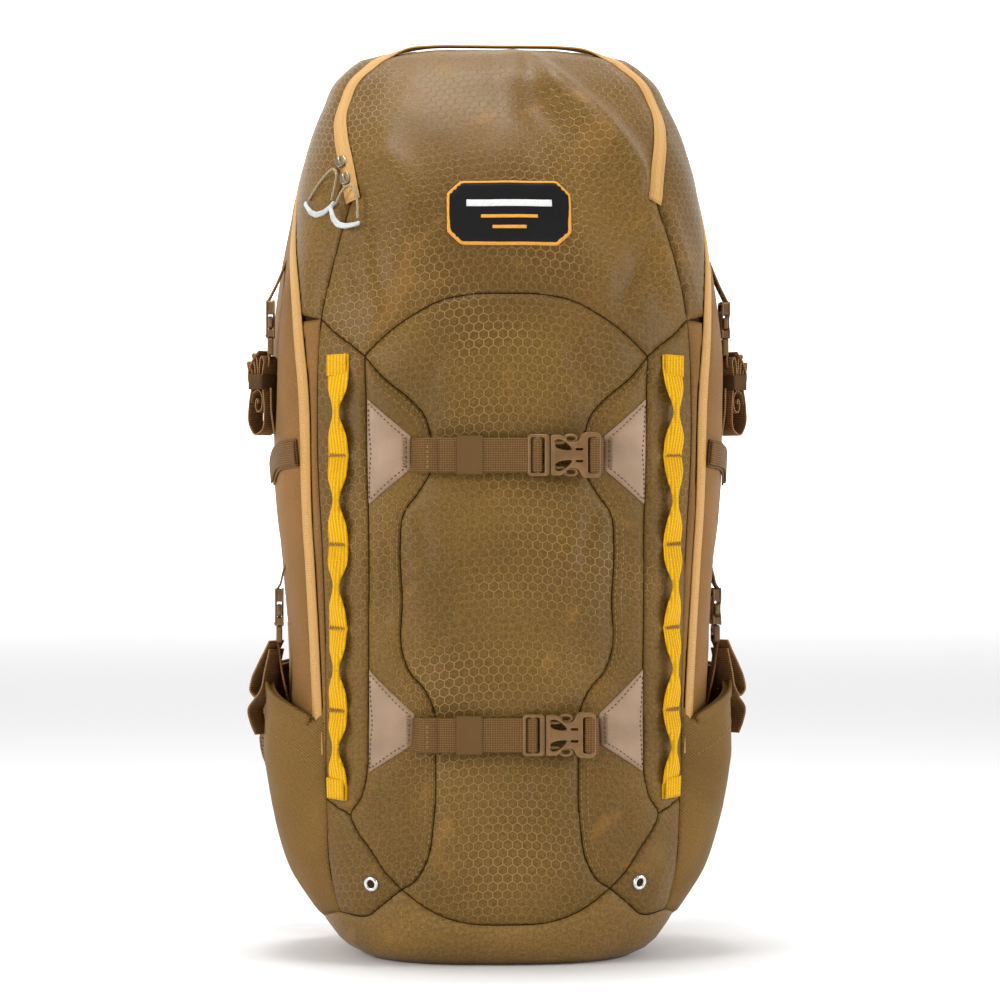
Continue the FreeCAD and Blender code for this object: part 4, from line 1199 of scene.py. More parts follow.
SMALL = 0.78  # side and chest buckles against the ones in front
FEMALE = [(0, 14.2), (7.5, 14.2), (9.5, 12.5), (11, 9.8), (15, 8.8), (19, 9.8), (20.5, 12), (22, 14.6),
          (24, 16), (33, 16), (35, 14)]


def mirror_outline(half):
    """Closed outline from its upper half."""
    return half + [(x, -y) for x, y in reversed(half)]


def plan_from_box(mesh, along, across):
    """Give a mesh a pattern plan: one axis along, one across."""
    layer = mesh.uv_layers.new(name="Plan")
    for loop in mesh.loops:
        place = mesh.vertices[loop.vertex_index].co
        layer.data[loop.index].uv = (place[along], place[across])
    return mesh


def teardrop(x, y, long, wide, tilt):
    """Small curved window: an ellipse drawn out to a tip."""
    points = []
    for k in range(16):
        turn = k / 16 * 2 * math.pi
        u = math.cos(turn) * long / 2
        v = math.sin(turn) * wide / 2 * (1 - 0.45 * math.cos(turn))
        points.append((x + u * math.cos(tilt) - v * math.sin(tilt),
                       y + u * math.sin(tilt) + v * math.cos(tilt)))
    return points


def female_half(name, matrix, body, *nodes, ratio=1.0):
    """Outer half of a side-release buckle: two windowed faces, a mouth, side posts and a webbing bar."""
    outline = rounded(mirror_outline(FEMALE), 1.6)
    slot = rounded(box_of((26.0, -12.6), (32.0, 12.6)), 1.6)
    windows = [teardrop(8.6, 6.7, 13.5, 6.0, -0.42), teardrop(8.6, -6.7, 13.5, 6.0, 0.42)]
    slots = [rounded(box_of((17.2, 3.4), (22.8, 5.0)), 0.7), rounded(box_of((17.2, -5.0), (22.8, -3.4)), 0.7)]
    parts = []
    for z in (3.2, -3.2):
        parts.append(moved(flat_plate("face", [outline, slot] + windows + slots, 2.0, 0.55), (0, 0, z)))
    rear = rounded(mirror_outline([(22.5, 15.2), (33, 15.4), (34.4, 13.4)]), 1.2)
    parts.append(flat_plate("rear", [rear, slot], 5.6, 0.4))
    for y in (12.9, -12.9):
        post = rounded(box_of((0.6, y - 1.1), (7.4, y + 1.1)), 0.6)
        parts.append(flat_plate("post", [post], 5.6, 0.3))
    rib = flat_plate("rib", [rounded(box_of((1.0, -9), (3.0, 9)), 0.8)], 1.2, 0.4)
    parts.append(moved(rib, (0, 0, 4.2)))
    mesh = place_bmesh(parts, matrix @ Matrix.Scale(ratio, 4), name)
    return add_piece(name, mesh, "Plastic", body, *nodes)


def plug_half(name, matrix, body, *nodes, ratio=1.0, arms=False):
    """Inner half: ladder frame, middle prong, and both arms where they don't move by themselves."""
    frame_line = rounded([(-16.3, -13.2), (-14.5, -14.75), (-2.5, -14.75), (-0.3, -12.5), (-0.3, 12.5),
                          (-2.5, 14.75), (-14.5, 14.75), (-16.3, 13.2)], 1.6)
    slots = [rounded(box_of((-14.1, -12.4), (-10.3, 12.4)), 1.2),
             rounded(box_of((-8.1, -12.4), (-4.3, 12.4)), 1.2)]
    parts = [flat_plate("frame", [frame_line] + slots, 5.6, 0.9)]
    prong = rounded(mirror_outline([(-0.6, 3.6), (3, 2.2), (18, 1.8), (20, 0.9)]), 0.7)
    parts.append(flat_plate("prong", [prong], 2.6, 0.5))
    if arms:
        parts += [arm_shape(1), arm_shape(-1)]
    mesh = place_bmesh(parts, matrix @ Matrix.Scale(ratio, 4), name)
    return add_piece(name, mesh, "Plastic", body, *nodes)


def arm_shape(side):
    """Sprung arm ending in an oval ring that is pressed from the side."""
    bar = [(0.4, 7.4), (8.5, 7.7), (12, 9.2), (10.5, 10.6), (8, 9.7), (0.4, 10.4)]
    turns = np.linspace(0, 2 * math.pi, 25)[:-1]
    oval = [(14.2 + 5.6 * math.cos(t), 11.6 + 3.5 * math.sin(t)) for t in turns]
    hole = [(14.2 + 3.2 * math.cos(t), 11.7 + 1.35 * math.sin(t)) for t in turns]
    whole = bmesh.new()
    for part in (flat_plate("bar", [rounded(bar, 0.8)], 3.6, 0.6),
                 flat_plate("ring", [oval, hole], 4.2, 0.9)):
        mesh = to_mesh(part, "part")
        whole.from_mesh(mesh)
        bpy.data.meshes.remove(mesh)
    if side < 0:
        whole.transform(Matrix.Diagonal((1, -1, 1, 1)))
        bmesh.ops.reverse_faces(whole, faces=whole.faces)
    return whole


def facing(x_axis, y_axis, z_axis, place):
    """Matrix that puts a local frame in the world."""
    return Matrix.Translation(Vector(place)) @ Matrix((x_axis, y_axis, z_axis)).transposed().to_4x4()


def make_front_straps():
    """Two buckled straps across the front: anchored webbing, keeper, plug, arms and outer halves."""
    wide = chosen("pack_webbing").front_width / MM
    for name, level, mouth, core, sewn in (("upper", STRAP_LEVELS[0], 29.3, -158.7, 67.2),
                                           ("lower", STRAP_LEVELS[1], 26.3, -153.1, 64.0)):
        tag = name.title()
        matrix = facing((1, 0, 0), (0, 0, 1), (0, -1, 0), (mouth, core, level))
        female_half("Buckle" + tag, matrix, "pack", *(("front_buckle_bodies",) if name == "upper" else ()))
        plug_half("Plug" + tag, matrix, "plug_" + name, "plug_" + name)
        for side, end in ((1, "top"), (-1, "bottom")):
            mesh = place_bmesh([arm_shape(side)], matrix, "Arm")
            add_piece("Arm%s%s" % (tag, end.title()), mesh, "Plastic", "arm_%s_%s" % (name, end),
                      "plug_%s_arm_%s" % (name, end))
        left = np.array([pack.from_x(x, level) for x in (-72, -66)])
        ground, _ = pack.at(left[:, 0], left[:, 1], over_cloth(left) - 0.3)
        path = resample([(-73, ground[0][1], level), (-67, ground[1][1] - 0.2, level),
                         (-60, core + 2.0, level), (-50, core + 0.6, level), (-20, core + 0.7, level),
                         (6, core + 0.9, level), (mouth - 17, core + 0.4, level),
                         (mouth - 13, core + 1.6, level)], 2.0, smooth=True)
        strap = strip_sweep("Strap" + tag, path, (0, 0, 1), wide, 1.7, "Webbing", None, "front_strap_" + name)
        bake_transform(strap)
        fold = resample([(-49, core - 1.0, level), (-44, core - 1.35, level), (-20, core - 1.25, level),
                         (4, core - 1.2, level), (mouth - 16, core - 1.5, level),
                         (mouth - 13, core - 0.5, level)], 2.0)
        tail = strip_sweep("StrapTail" + tag, fold, (0, 0, 1), wide - 0.4, 1.6, "Webbing", None,
                           plan_shift=0.7)
        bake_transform(tail)
        hump = resample([(mouth - 12.6, core + 0.6, level), (mouth - 11.4, core - 2.4, level),
                         (mouth - 9.3, core - 3.4, level), (mouth - 7.2, core - 2.4, level),
                         (mouth - 6.2, core + 0.6, level)], 0.8)
        strip_sweep("StrapTurn" + tag, hump, (0, 0, 1), wide - 0.8, 1.5, "Webbing", "plug_" + name)
        bar = mouth + 29
        right = np.array([pack.from_x(sewn + 8, level)])
        ground, _ = pack.at(right[:, 0], right[:, 1], over_cloth(right) + 0.4)
        anchor = resample([(bar - 2.0, core + 1.5, level), (bar - 0.6, core - 2.6, level),
                           (bar + 2, core - 4.3, level), (bar + 4.8, core - 3.4, level),
                           (bar + 7, core - 0.4, level), (sewn - 1, ground[0][1] - 1.2, level),
                           (sewn + 6, ground[0][1] + 0.8, level)], 1.5)
        strip_sweep("Anchor" + tag, anchor, (0, 0, 1), wide, 1.7, "Webbing", "pack",
                    *(("front_anchor_straps",) if name == "upper" else ()))
        column = [(-57, core + 0.6, level + 10.5 * z) for z in (-1, 0, 1)]
        stitch_row("StrapStitch" + tag, column, [(0, -1, 0)] * 3, "Thread", "pack", long=2.2, gap=1.3,
                   thick=0.8)
        outer = rounded(box_of((-3.1, -13.7), (3.1, 13.7)), 2.2)
        inner = rounded(box_of((-2.3, -12.9), (2.3, 12.9)), 1.6)
        tube = flat_plate("keeper", [outer, inner], 18.0, 0.3)
        spin = facing((0, 1, 0), (0, 0, 1), (1, 0, 0), (-27.75, core, level))
        mesh = plan_from_box(place_bmesh([tube], spin, "Keeper"), 0, 2)
        add_piece("Keeper" + tag, mesh, "Elastic", "keeper_" + name, "keeper_" + name)


# CAD node, joint, its sense, the way the face looks, and how far it lies under its box's middle.
SLIDERS = (
    ("lid_slider_upper", "lid_zip_slide_upper", 1, (-0.47, -0.71, 0.52), 0.3),
    ("lid_slider_lower", "lid_zip_slide_lower", 1, (-0.42, -0.77, 0.48), 0.3),
    ("main_slider_left", "main_zip_slide_left", -1, (0, 0, 1), 0.6),
    ("main_slider_right", "main_zip_slide_right", 1, (0, 0, 1), 0.6),
)


def make_sliders():
    """Zip sliders, each with its bridge, lying along the line they slide on."""
    axes = {joint["name"]: joint.get("axis") for joint in frame["record"]["behaviour"]["joints"]}
    for node, joint, way, away, sunk in SLIDERS:
        along, away = Vector(axes[joint]).normalized() * way, Vector(away)
        away = (away - along * away.dot(along)).normalized()
        low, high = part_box(node)
        matrix = facing(along, away.cross(along), away, (low + high) / 2 / MM - away * sunk)
        shield = [(-5.2, -1.8), (-4.2, -3.2), (0, -4.3), (4.0, -4.0), (5.2, -2.6), (5.2, -0.7), (3.2, 0),
                  (5.2, 0.7), (5.2, 2.6), (4.0, 4.0), (0, 4.3), (-4.2, 3.2), (-5.2, 1.8)]
        low = flat_plate("low", [rounded(shield, 1.0)], 1.2, 0.35)
        high = flat_plate("high", [rounded([(x * 0.96, y * 0.94) for x, y in shield], 1.0)], 1.3, 0.45)
        hoop = [(-3.4, 0, 1.4), (-2.6, 0, 2.9), (-0.8, 0, 3.5), (1.2, 0, 3.5), (2.8, 0, 2.9), (3.4, 0, 1.4)]
        bridge = round_bar(hoop, 0.8, 8)
        mesh = place_bmesh([moved(low, (0, 0, -0.9)), moved(high, (0, 0, 1.0)), bridge], matrix, node)
        add_piece(node.title().replace("_", ""), mesh, "SliderMetal", node, node)


def make_pulls():
    """Pull cords of the lid's sliders, each with its moulded grip."""
    for name, (points, face, length) in PULLS.items():
        data = bpy.data.curves.new("PullCord" + name, "CURVE")
        data.dimensions = "3D"
        data.bevel_depth = 0.001
        data.bevel_resolution = 3
        data.use_fill_caps = True
        spline = data.splines.new("NURBS")
        spline.points.add(len(points) - 1)
        for target, point in zip(spline.points, points):
            target.co = (*(Vector(point) * MM), 1)
        spline.order_u = 3
        spline.use_endpoint_u = True
        cord = bpy.data.objects.new("PullCord" + name, data)
        bpy.context.scene.collection.objects.link(cord)
        data.materials.append(material("Cord"))
        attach(cord, "pull_" + name)
        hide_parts("pull_cord_" + name)
        grip = make_grip(name, points, face)


PULLS = {
    "upper": ([(-139.5, -72.8, 548.5), (-135, -76.8, 556.5), (-128.5, -82.3, 565), (-122.4, -87.6, 570.6),
               (-119.6, -92.5, 567.2), (-120.2, -94.9, 560.5), (-121.8, -95.7, 553.5),
               (-123.4, -96.5, 546.6)],
              (-0.62, -0.76, 0.18), 0.0589),
    "lower": ([(-120.6, -106.2, 542.6), (-118, -105.1, 549.4), (-114.6, -104.8, 554.6), (-110.4, -104.7, 557),
               (-107.2, -108.1, 554.2), (-105.6, -112, 548), (-105, -115.8, 540), (-105.4, -119, 532)],
              (-0.52, -0.8, 0.3), 0.048),
}


def make_grip(name, points, face):
    """Curved moulded grip between the ends of a pull cord."""
    first, last = Vector(points[0]), Vector(points[-1])
    across = (last - first).normalized()
    away = Vector(face)
    away = (away - across * away.dot(across)).normalized()
    down = away.cross(across)
    if down.z > 0:
        down = -down
    half = (last - first).length / 2
    centre = (first + last) / 2
    top = [(-half - 3.2, 0.2), (-half - 0.5, 3.4), (-half * 0.5, 7.4), (0, 8.8), (half * 0.5, 7.4),
           (half + 0.5, 3.4), (half + 3.2, 0.2)]
    low = [(half + 4.4, 3.6), (half * 0.62, 11.0), (0, 13.2), (-half * 0.62, 11.0), (-half - 4.4, 3.6)]
    plate = flat_plate("grip", [rounded(top + low, 1.6)], 2.6, 0.8)
    matrix = facing(across, down, across.cross(down), centre)
    mesh = place_bmesh([plate], matrix, "Grip")
    return add_piece("Grip" + name.title(), mesh, "Grip", "pull_" + name, "pull_grip_" + name)


# ------------------------------------------------------------------ sides and harness

def band(name, path, middle, wide, look, body, *nodes, side=1, thick=1.6, step=1.5, yaw=0.0, about=172):
    """Webbing edge-on to the side: its path is x, z points and its width runs along y, turned by `yaw`."""
    line = resample([(x, z) for x, z in path], step)
    c, s = math.cos(yaw), math.sin(yaw)
    away = line[:, 0] - about
    points = np.stack([side * (about + away * c), middle + away * s, line[:, 1]], axis=1)
    return strip_sweep(name, points, (-side * s, c, 0), wide, thick, look, body, *nodes)


def bundle(tag, side, shift, body):
    """Spare webbing of a side strap: folds above its band, a roll and a hanging bight below."""
    x, z = shift
    wide = chosen("pack_webbing").side_width / MM
    spiral = [(x + (6.0 - 0.52 * k) * math.cos(k * 0.8), z - 13 + (11.5 - 0.85 * k) * math.sin(k * 0.8))
              for k in range(13)]
    shapes = {
        "Outer": [(x - 1, z + 25), (x + 4, z + 19), (x + 8.2, z + 9), (x + 7.0, z + 1), (x + 3.5, z - 2)],
        "FoldA": [(x + 2, z + 4), (x + 3.2, z + 16), (x + 4.6, z + 23), (x + 1.8, z + 21),
                  (x + 0.4, z + 14), (x, z + 4)],
        "FoldB": [(x - 1.5, z + 4), (x - 1.6, z + 15), (x - 3.2, z + 21), (x - 5.2, z + 18.5),
                  (x - 4.6, z + 12), (x - 3.4, z + 4)],
        "FoldC": [(x + 3.4, z + 4), (x + 6, z + 12), (x + 9.0, z + 17.5), (x + 8.4, z + 12), (x + 5, z + 4)],
        "Bight": [(x + 5, z - 1), (x + 7.5, z - 14), (x + 7.0, z - 30), (x + 2.5, z - 36),
                  (x - 3.5, z - 33), (x - 5.8, z - 20), (x - 4.4, z - 1)],
        "Roll": spiral,
    }
    for k, (name, path) in enumerate(shapes.items()):
        middle = -30 + (0.6 if k % 2 else -0.5)
        band("Spare%s%s" % (name, tag), path, middle, wide - (k % 3) * 0.4, "SideWebbingPaintedLight", body,
             side=side, thick=1.35, yaw=0.6)
    outer = rounded(box_of((-6.3, -12), (6.6, 12)), 2.4)
    inner = rounded(box_of((-5.2, -10.9), (5.5, 10.9)), 1.8)
    tube = flat_plate("band", [outer, inner], 11, 0.3)
    c, s = math.cos(0.6), math.sin(0.6)
    spin = facing((side * c, s, 0), (-s, side * c, 0), (0, 0, 1), (side * (x + 0.6), -30, z + 2.4))
    mesh = plan_from_box(place_bmesh([tube], spin, "SpareBand"), 2, 1)
    add_piece("SpareBand" + tag, mesh, "SideWebbingPaintedLight", body)


def make_sides():
    """Buckled compression straps on both sides, with their spare webbing folded and banded."""
    wide = chosen("pack_webbing").side_width / MM
    for side, tag in ((1, "right"), (-1, "left")):
        for name, x, level in (("upper", 167.4, 451), ("lower", 160.9, 240)):
            matrix = facing((0, 0, 1), (0, -side, 0), (side, 0, 0), (side * x, -30, level))
            label = name.title() + tag.title()
            plug = "side_plug_%s_%s" % (name, tag)
            shown_once = label == "UpperRight"
            female_half("SideBuckle" + label, matrix, "pack",
                        *(("side_buckle_bodies",) if shown_once else ()), ratio=SMALL)
            plug_half("SidePlug" + label, matrix, plug, plug, ratio=SMALL, arms=True)
            over, under = level + SMALL * 29, level - SMALL * 12
            if name == "upper":
                high = [(x, over - 1), (x + 1.8, over + 3), (x, over + 7), (x - 4, over + 15),
                        (x - 12, over + 34)]
                low = [(x, under + 2), (x + 1.6, under - 1), (x + 1.0, under - 5), (x + 1.5, under - 12)]
            else:
                high = [(x, over - 1), (x + 1.8, over + 3), (x - 0.5, over + 7), (x - 2.5, over + 15),
                        (x - 7.5, over + 34)]
                low = [(x, under + 2), (x + 1.6, under - 1), (x + 1.0, under - 4), (x - 2, under - 24),
                       (x - 8, under - 52)]
            band("SideStrapHigh" + label, high, -30, wide, "SideWebbingPaintedLight", "pack",
                 *(("side_straps",) if shown_once else ()), side=side)
            strap = band("SideStrapLow" + label, low, -30, wide, "SideWebbingPaintedLight", None, side=side)
            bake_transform(strap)
        bundle("Upper" + tag.title(), side, (171.5, 416), "side_plug_upper_" + tag)
        drop = [(167, 414), (166.5, 396), (163.5, 376), (161, 362), (159, 352)]
        strap = band("SideDown" + tag.title(), drop, -32, wide, "SideWebbingPaintedLight", None, side=side)
        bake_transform(strap)
        bight = [(161, 229), (165, 222), (171, 212), (177, 200), (178, 192), (173.5, 188), (169, 193),
                 (165.5, 206), (161, 223)]
        band("SideBight" + tag.title(), bight, -33, wide, "SideWebbingPaintedLight", "side_plug_lower_" + tag,
             side=side, yaw=0.6)
        tail = [(168, 192), (174, 186), (180.5, 178), (178, 168), (173.5, 160)]
        band("SideTail" + tag.title(), tail, -24, 17, "SideWebbingPaintedLight", "side_plug_lower_" + tag, side=side,
             yaw=0.7)
        for shift, far in ((0, "A"), (1.7, "B")):
            line = side_path([(-40, 352), (-60, 361), (-96, 366)], side, 3.0)
            points, _, across = laid_on(line, 1.2 + shift)
            strip_sweep("SideForward%s%s" % (far, tag.title()), points, across, 20 - shift * 2, 1.5,
                        "Webbing", "pack")


def soft_sweep(name, points, across, wide, thick, look, body, *nodes):
    """Padded strap: a fat rounded section swept along a line, tapering to round ends."""
    points = resample(points, 4.0)
    count = len(points)
    across = Vector(across).normalized()
    tangent = np.gradient(points, axis=0)
    tangent /= np.linalg.norm(tangent, axis=1)[:, None]
    run = np.concatenate(([0], np.cumsum(np.linalg.norm(np.diff(points, axis=0), axis=1))))
    bm = bmesh.new()
    rings, places = [], []
    for k in range(count):
        end = min(run[k], run[-1] - run[k])
        taper = math.sqrt(max(1 - (1 - min(end / 14, 1)) ** 2, 0.004))
        away = Vector(tangent[k]).cross(across).normalized()
        ring = []
        for step in range(28):
            turn = step / 28 * 2 * math.pi
            c, s = math.cos(turn), math.sin(turn)
            u = math.copysign(abs(c) ** 0.42, c) * wide / 2 * (0.55 + 0.45 * taper)
            quilt = 1 - 0.16 * math.cos(u / wide * 4 * math.pi)
            v = math.copysign(abs(s) ** 0.75, s) * thick / 2 * taper * quilt
            ring.append(bm.verts.new((Vector(points[k]) + across * u + away * v) * MM))
            places.append((run[k] * MM, (u + (0.3 if s < 0 else 0)) * MM))
        rings.append([bm.edges.new(pair) for pair in zip(ring, ring[1:] + ring[:1])])
    for one, two in zip(rings, rings[1:]):
        bmesh.ops.bridge_loops(bm, edges=one + two)
    bmesh.ops.holes_fill(bm, edges=rings[0] + rings[-1], sides=0)
    bm.verts.index_update()
    write_plan(bm, places)
    bmesh.ops.recalc_face_normals(bm, faces=bm.faces)
    piece = add_piece(name, to_mesh(bm, name), look, body, *nodes)
    return piece


def bound_edge(name, points, across, wide, offset, body, radius=1.7):
    """Cloth binding along both edges of a padded strap."""
    points = resample(points, 4.0)
    rails = []
    for sign in (1, -1):
        rail = [tuple(Vector(p) + Vector(across) * sign * wide / 2 + Vector(offset)) for p in points[2:-2]]
        rails.append(add_bar(name, rail, radius, 8, "SideCloth", body))
    return join_pieces(name, rails)


def cushion(name, centre, size, look, *nodes, body="pack"):
    """Foam pad with rounded corners and a softly domed face."""
    bm = bmesh.new()
    bmesh.ops.create_cube(bm, size=1)
    bmesh.ops.subdivide_edges(bm, edges=bm.edges[:], cuts=23, use_grid_fill=True)
    half = Vector(size) / 2
    places = []
    for vert in bm.verts:
        x, y, z = (2 * c for c in vert.co)
        corner = min(1.0, (abs(x) ** 7 + abs(z) ** 7) ** (1 / 7))
        shrink = corner / max((abs(x) ** 5 + abs(z) ** 5) ** 0.2, 1e-6) if corner else 1
        dome = 1 - 0.55 * (max(abs(x), abs(z)) ** 4)
        ridge = 1 - 0.10 * math.cos(z * 3 * math.pi)
        vert.co = Vector((centre[0] + x * half[0] * shrink,
                          centre[1] + y * half[1] * dome * (ridge if y > 0 else 1),
                          centre[2] + z * half[2] * shrink)) * MM
        places.append((vert.co.x, vert.co.z))
    bm.verts.index_update()
    write_plan(bm, places)
    piece = add_piece(name, to_mesh(bm, name), look, body, *nodes)
    return piece


def make_harness():
    """Back pads, shoulder straps, hip wings and their webbing."""
    padding = chosen("pack_padding")
    strap_wide, wing_wide, thick = padding.strap_width / MM, padding.wing_width / MM, padding.thickness / MM
    for side, tag in ((1, "right"), (-1, "left")):
        strap = [(side * 63, y, z) for y, z in (
            (104, 550), (118, 575), (140, 579), (152.5, 556), (155.5, 500), (152.5, 430), (148.5, 370),
            (140.5, 310), (129.5, 271))]
        soft_sweep("ShoulderStrap" + tag.title(), strap, (1, 0, 0), strap_wide, thick, "AirMesh", "pack",
                   "shoulder_strap_" + tag)
        bound_edge("StrapBinding" + tag.title(), strap, (1, 0, 0), strap_wide - 1, (0, 0, 0), "pack")
        line = resample([(x, y + 6.6, z) for x, y, z in strap[2:]], 3.0)
        strip_sweep("StrapLadder" + tag.title(), line, (1, 0, 0), 25, 1.4, "Webbing", "pack")
        tail = resample([(side * 62.5, y, z) for y, z in (
            (128.5, 268), (126, 250), (115, 190), (104, 140), (99.5, 106))], 3.0)
        strip_sweep("StrapTailWeb" + tag.title(), tail, (1, 0, 0), 25, 1.6, "Webbing", "pack",
                    *(("harness_webbings",) if side > 0 else ()))
        lifter = resample([(side * 70, y, z) for y, z in ((144, 583), (136, 591), (112, 608), (94, 622))],
                          3.0)
        strip_sweep("Lifter" + tag.title(), lifter, (1, 0, 0), 20, 1.6, "Webbing", "pack")
        adjuster = facing((0, 0.10, 0.995), (1, 0, 0), (0, 0.995, -0.10), (side * 62.5, 131.5, 272))
        plate = flat_plate("ladder", [rounded(box_of((-9, -15), (9, 15)), 2.5),
                                      rounded(box_of((-6, -12.6), (-2, 12.6)), 1),
                                      rounded(box_of((1, -12.6), (5, 12.6)), 1)], 4.2, 0.8)
        add_piece("Ladder" + tag.title(), place_bmesh([plate], adjuster, "Ladder"), "Plastic", "pack")
        cushion("BackPad" + tag.title(), (side * 48, 104.6, 415), (51, 17.5, 218), "AirMesh",
                *(("back_pads",) if side > 0 else ()))
        body = "hip_" + tag
        wing = [(side * x, y, 165) for x, y in ((82, 105.5), (125, 107.5), (152, 115.5), (168, 130),
                                                (173, 148))]
        soft_sweep("HipWing" + tag.title(), wing, (0, 0, 1), wing_wide, thick, "AirMesh", body,
                   "hip_wing_" + tag)
        bound_edge("HipBinding" + tag.title(), wing, (0, 0, 1), wing_wide - 1, (0, 0, 0), body)
        web = resample([(side * x, y, 165) for x, y in (
            (172, 147), (171, 153.5), (163, 156.6), (120, 157), (86, 157), (80, 157.6))], 3.0)
        strip_sweep("HipStrap" + tag.title(), web, (0, 0, 1), 24.4, 1.6, "Webbing", body, "hip_strap_" + tag)
    cushion("LumbarPad", (0, 104.4, 185), (89, 17.5, 128), "AirMesh")


def make_harness_buckles():
    """Hip and sternum buckles, the sternum strap and the haul handle."""
    hip = ((-1, 0, 0), (0, 0, 1), (0, 1, 0))
    plug_half("HipPlug", facing(*hip, (67, 157, 165)), "hip_right", "hip_plug", arms=True)
    female_half("HipBuckle", facing(*hip, (-48, 157, 165)), "hip_left", "hip_buckle_body")
    chest = facing((1, 0, 0), (0, 0, -1), (0, 1, 0), (1, 152, 430))
    female_half("SternumBuckle", chest, "sternum", "sternum_buckle_body", ratio=SMALL)
    plug_half("SternumPlug", chest, "sternum_plug", "sternum_plug", ratio=SMALL, arms=True)
    for tag, low, high in (("Left", -33.4, -9.5), ("Right", 24.5, 33.4)):
        line = resample([(low, 152, 430), ((low + high) / 2, 152.2, 430), (high, 152, 430)], 2.0)
        body = None if tag == "Left" else "sternum"
        strap = strip_sweep("SternumStrap" + tag, line, (0, 0, 1), 18, 1.6, "Webbing", body,
                            *(("sternum_strap",) if tag == "Right" else ()))
        if tag == "Left":
            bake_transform(strap)
    arch_line = resample([(-42, 108, 603), (-42, 108, 624), (-33, 108, 639), (0, 108, 645), (33, 108, 639),
                          (42, 108, 624), (42, 108, 603)], 3.0)
    strip_sweep("HaulHandle", arch_line, (0, 1, 0), 22, 3.8, "Webbing", "haul_handle", "haul_handle")


def make_inner_frame():
    """Finish of the stiffening inside the back."""
    for node, look in (("frame_sheet", "DarkPlastic"), ("frame_stays", "Aluminium")):
        piece = frame["nodes"][node]
        piece.data.materials.clear()
        piece.data.materials.append(material(look))


# ------------------------------------------------------------------ stage

def lit_plane(name, matrix, size, **sockets):
    """Big square of the stage with a plain material."""
    bm = bmesh.new()
    bmesh.ops.create_grid(bm, x_segments=1, y_segments=1, size=size, matrix=matrix)
    plane = bpy.data.objects.new(name, to_mesh(bm, name))
    bpy.context.scene.collection.objects.link(plane)
    surface = Surface(name, 0.9, **sockets)
    plane.data.materials.append(surface.material)


def make_stage():
    """Pale floor, backdrop, soft lights and the camera."""
    scene = bpy.context.scene
    lit_plane("Floor", Matrix(), 30, Base_Color=(0.85, 0.85, 0.85, 1))
    upright = Matrix.Translation((0, 7, 0)) @ Matrix.Rotation(math.pi / 2, 4, "X")
    lit_plane("Backdrop", upright, 9, Emission_Color=(1, 1, 1, 1), Emission_Strength=1.3)
    world = bpy.data.worlds.new("Studio")
    world.use_nodes = True
    world.node_tree.nodes["Background"].inputs["Color"].default_value = (1, 1, 1, 1)
    world.node_tree.nodes["Background"].inputs["Strength"].default_value = 0.50
    scene.world = world
    for name, place, aim, size, power in (
            ("Key", (-1.9, -1.3, 0.9), (0, 0, 0.36), 1.0, 34),
            ("Fill", (1.9, -0.9, 0.8), (0, 0, 0.33), 1.0, 26),
            ("Top", (-0.1, 0.05, 2.2), (0, 0, 0.45), 0.8, 34)):
        light = bpy.data.lights.new(name, "AREA")
        light.size, light.energy = size, power
        lamp = bpy.data.objects.new(name, light)
        lamp.location = place
        lamp.rotation_euler = (Vector(aim) - Vector(place)).to_track_quat("-Z", "Y").to_euler()
        scene.collection.objects.link(lamp)
    eye = bpy.data.cameras.new("Camera")
    eye.lens, eye.sensor_width = 126.5, 36
    camera = bpy.data.objects.new("Camera", eye)
    camera.location = (-0.152, -2.615, 0.332)
    aim = Vector((0.002, -0.02, 0.332)) - camera.location
    camera.rotation_euler = aim.to_track_quat("-Z", "Y").to_euler()
    scene.collection.objects.link(camera)
    scene.camera = camera
    scene.view_settings.view_transform = "Standard"


# ------------------------------------------------------------------ add-on

def colour_setting(label, about, value):
    """Colour property of a finish."""
    return bpy.props.FloatVectorProperty(name=label, description=about, default=value, size=3, min=0, max=1,
                                         subtype="COLOR")


def size_setting(label, about, value):
    """Length property, in metres."""
    return bpy.props.FloatProperty(name=label, description=about, default=value, min=0, unit="LENGTH")


class ClothLook(bpy.types.PropertyGroup):
    """Colours and pattern of the cloth."""
    # set a little darker than the yoke cloth as painted shade, where the light falls off low on the front
    # pocket
    front: colour_setting("Front cloth", "Ground colour of the ripstop on the front pocket",
                          (0.146, 0.080, 0.0165))
    low: colour_setting("Yoke cloth", "Ground colour of the ripstop on yokes, strips and foot",
                        (0.155, 0.083, 0.017))
    lid: colour_setting("Lid cloth", "Ground colour of the ripstop on the lid", (0.148, 0.080, 0.0175))
    base: colour_setting("Base cloth", "Ground colour of the ripstop under the pack", (0.215, 0.120, 0.030))
    side: colour_setting("Side cloth", "Colour of the plain cloth on the sides and the back",
                         (0.215, 0.106, 0.031))
    pocket: colour_setting("Pocket cloth", "Colour of the stretched side pockets", (0.170, 0.091, 0.021))
    cell: size_setting("Honeycomb cell", "Width of one cell of the ripstop's pattern", 0.0068)


class WebbingLook(bpy.types.PropertyGroup):
    """Colours and sizes of the webbing and its hardware."""
    strap: colour_setting("Strap colour", "Colour of the front and harness webbing", (0.185, 0.094, 0.030))
    loops: colour_setting("Lash loop colour", "Colour of the bright lash loops", (0.96, 0.50, 0.006))
    buckle: colour_setting("Buckle colour", "Colour of the moulded buckles", (0.170, 0.085, 0.024))
    front_width: size_setting("Front strap width", "Width of the two straps across the front", 0.0244)
    side_width: size_setting("Side strap width", "Width of the compression straps", 0.019)
    loop_width: size_setting("Lash loop width", "Width of the lash webbing where it lies flat", 0.0165)
    loop_rise: size_setting("Lash loop rise", "How far a lash loop stands off the cloth", 0.0064)


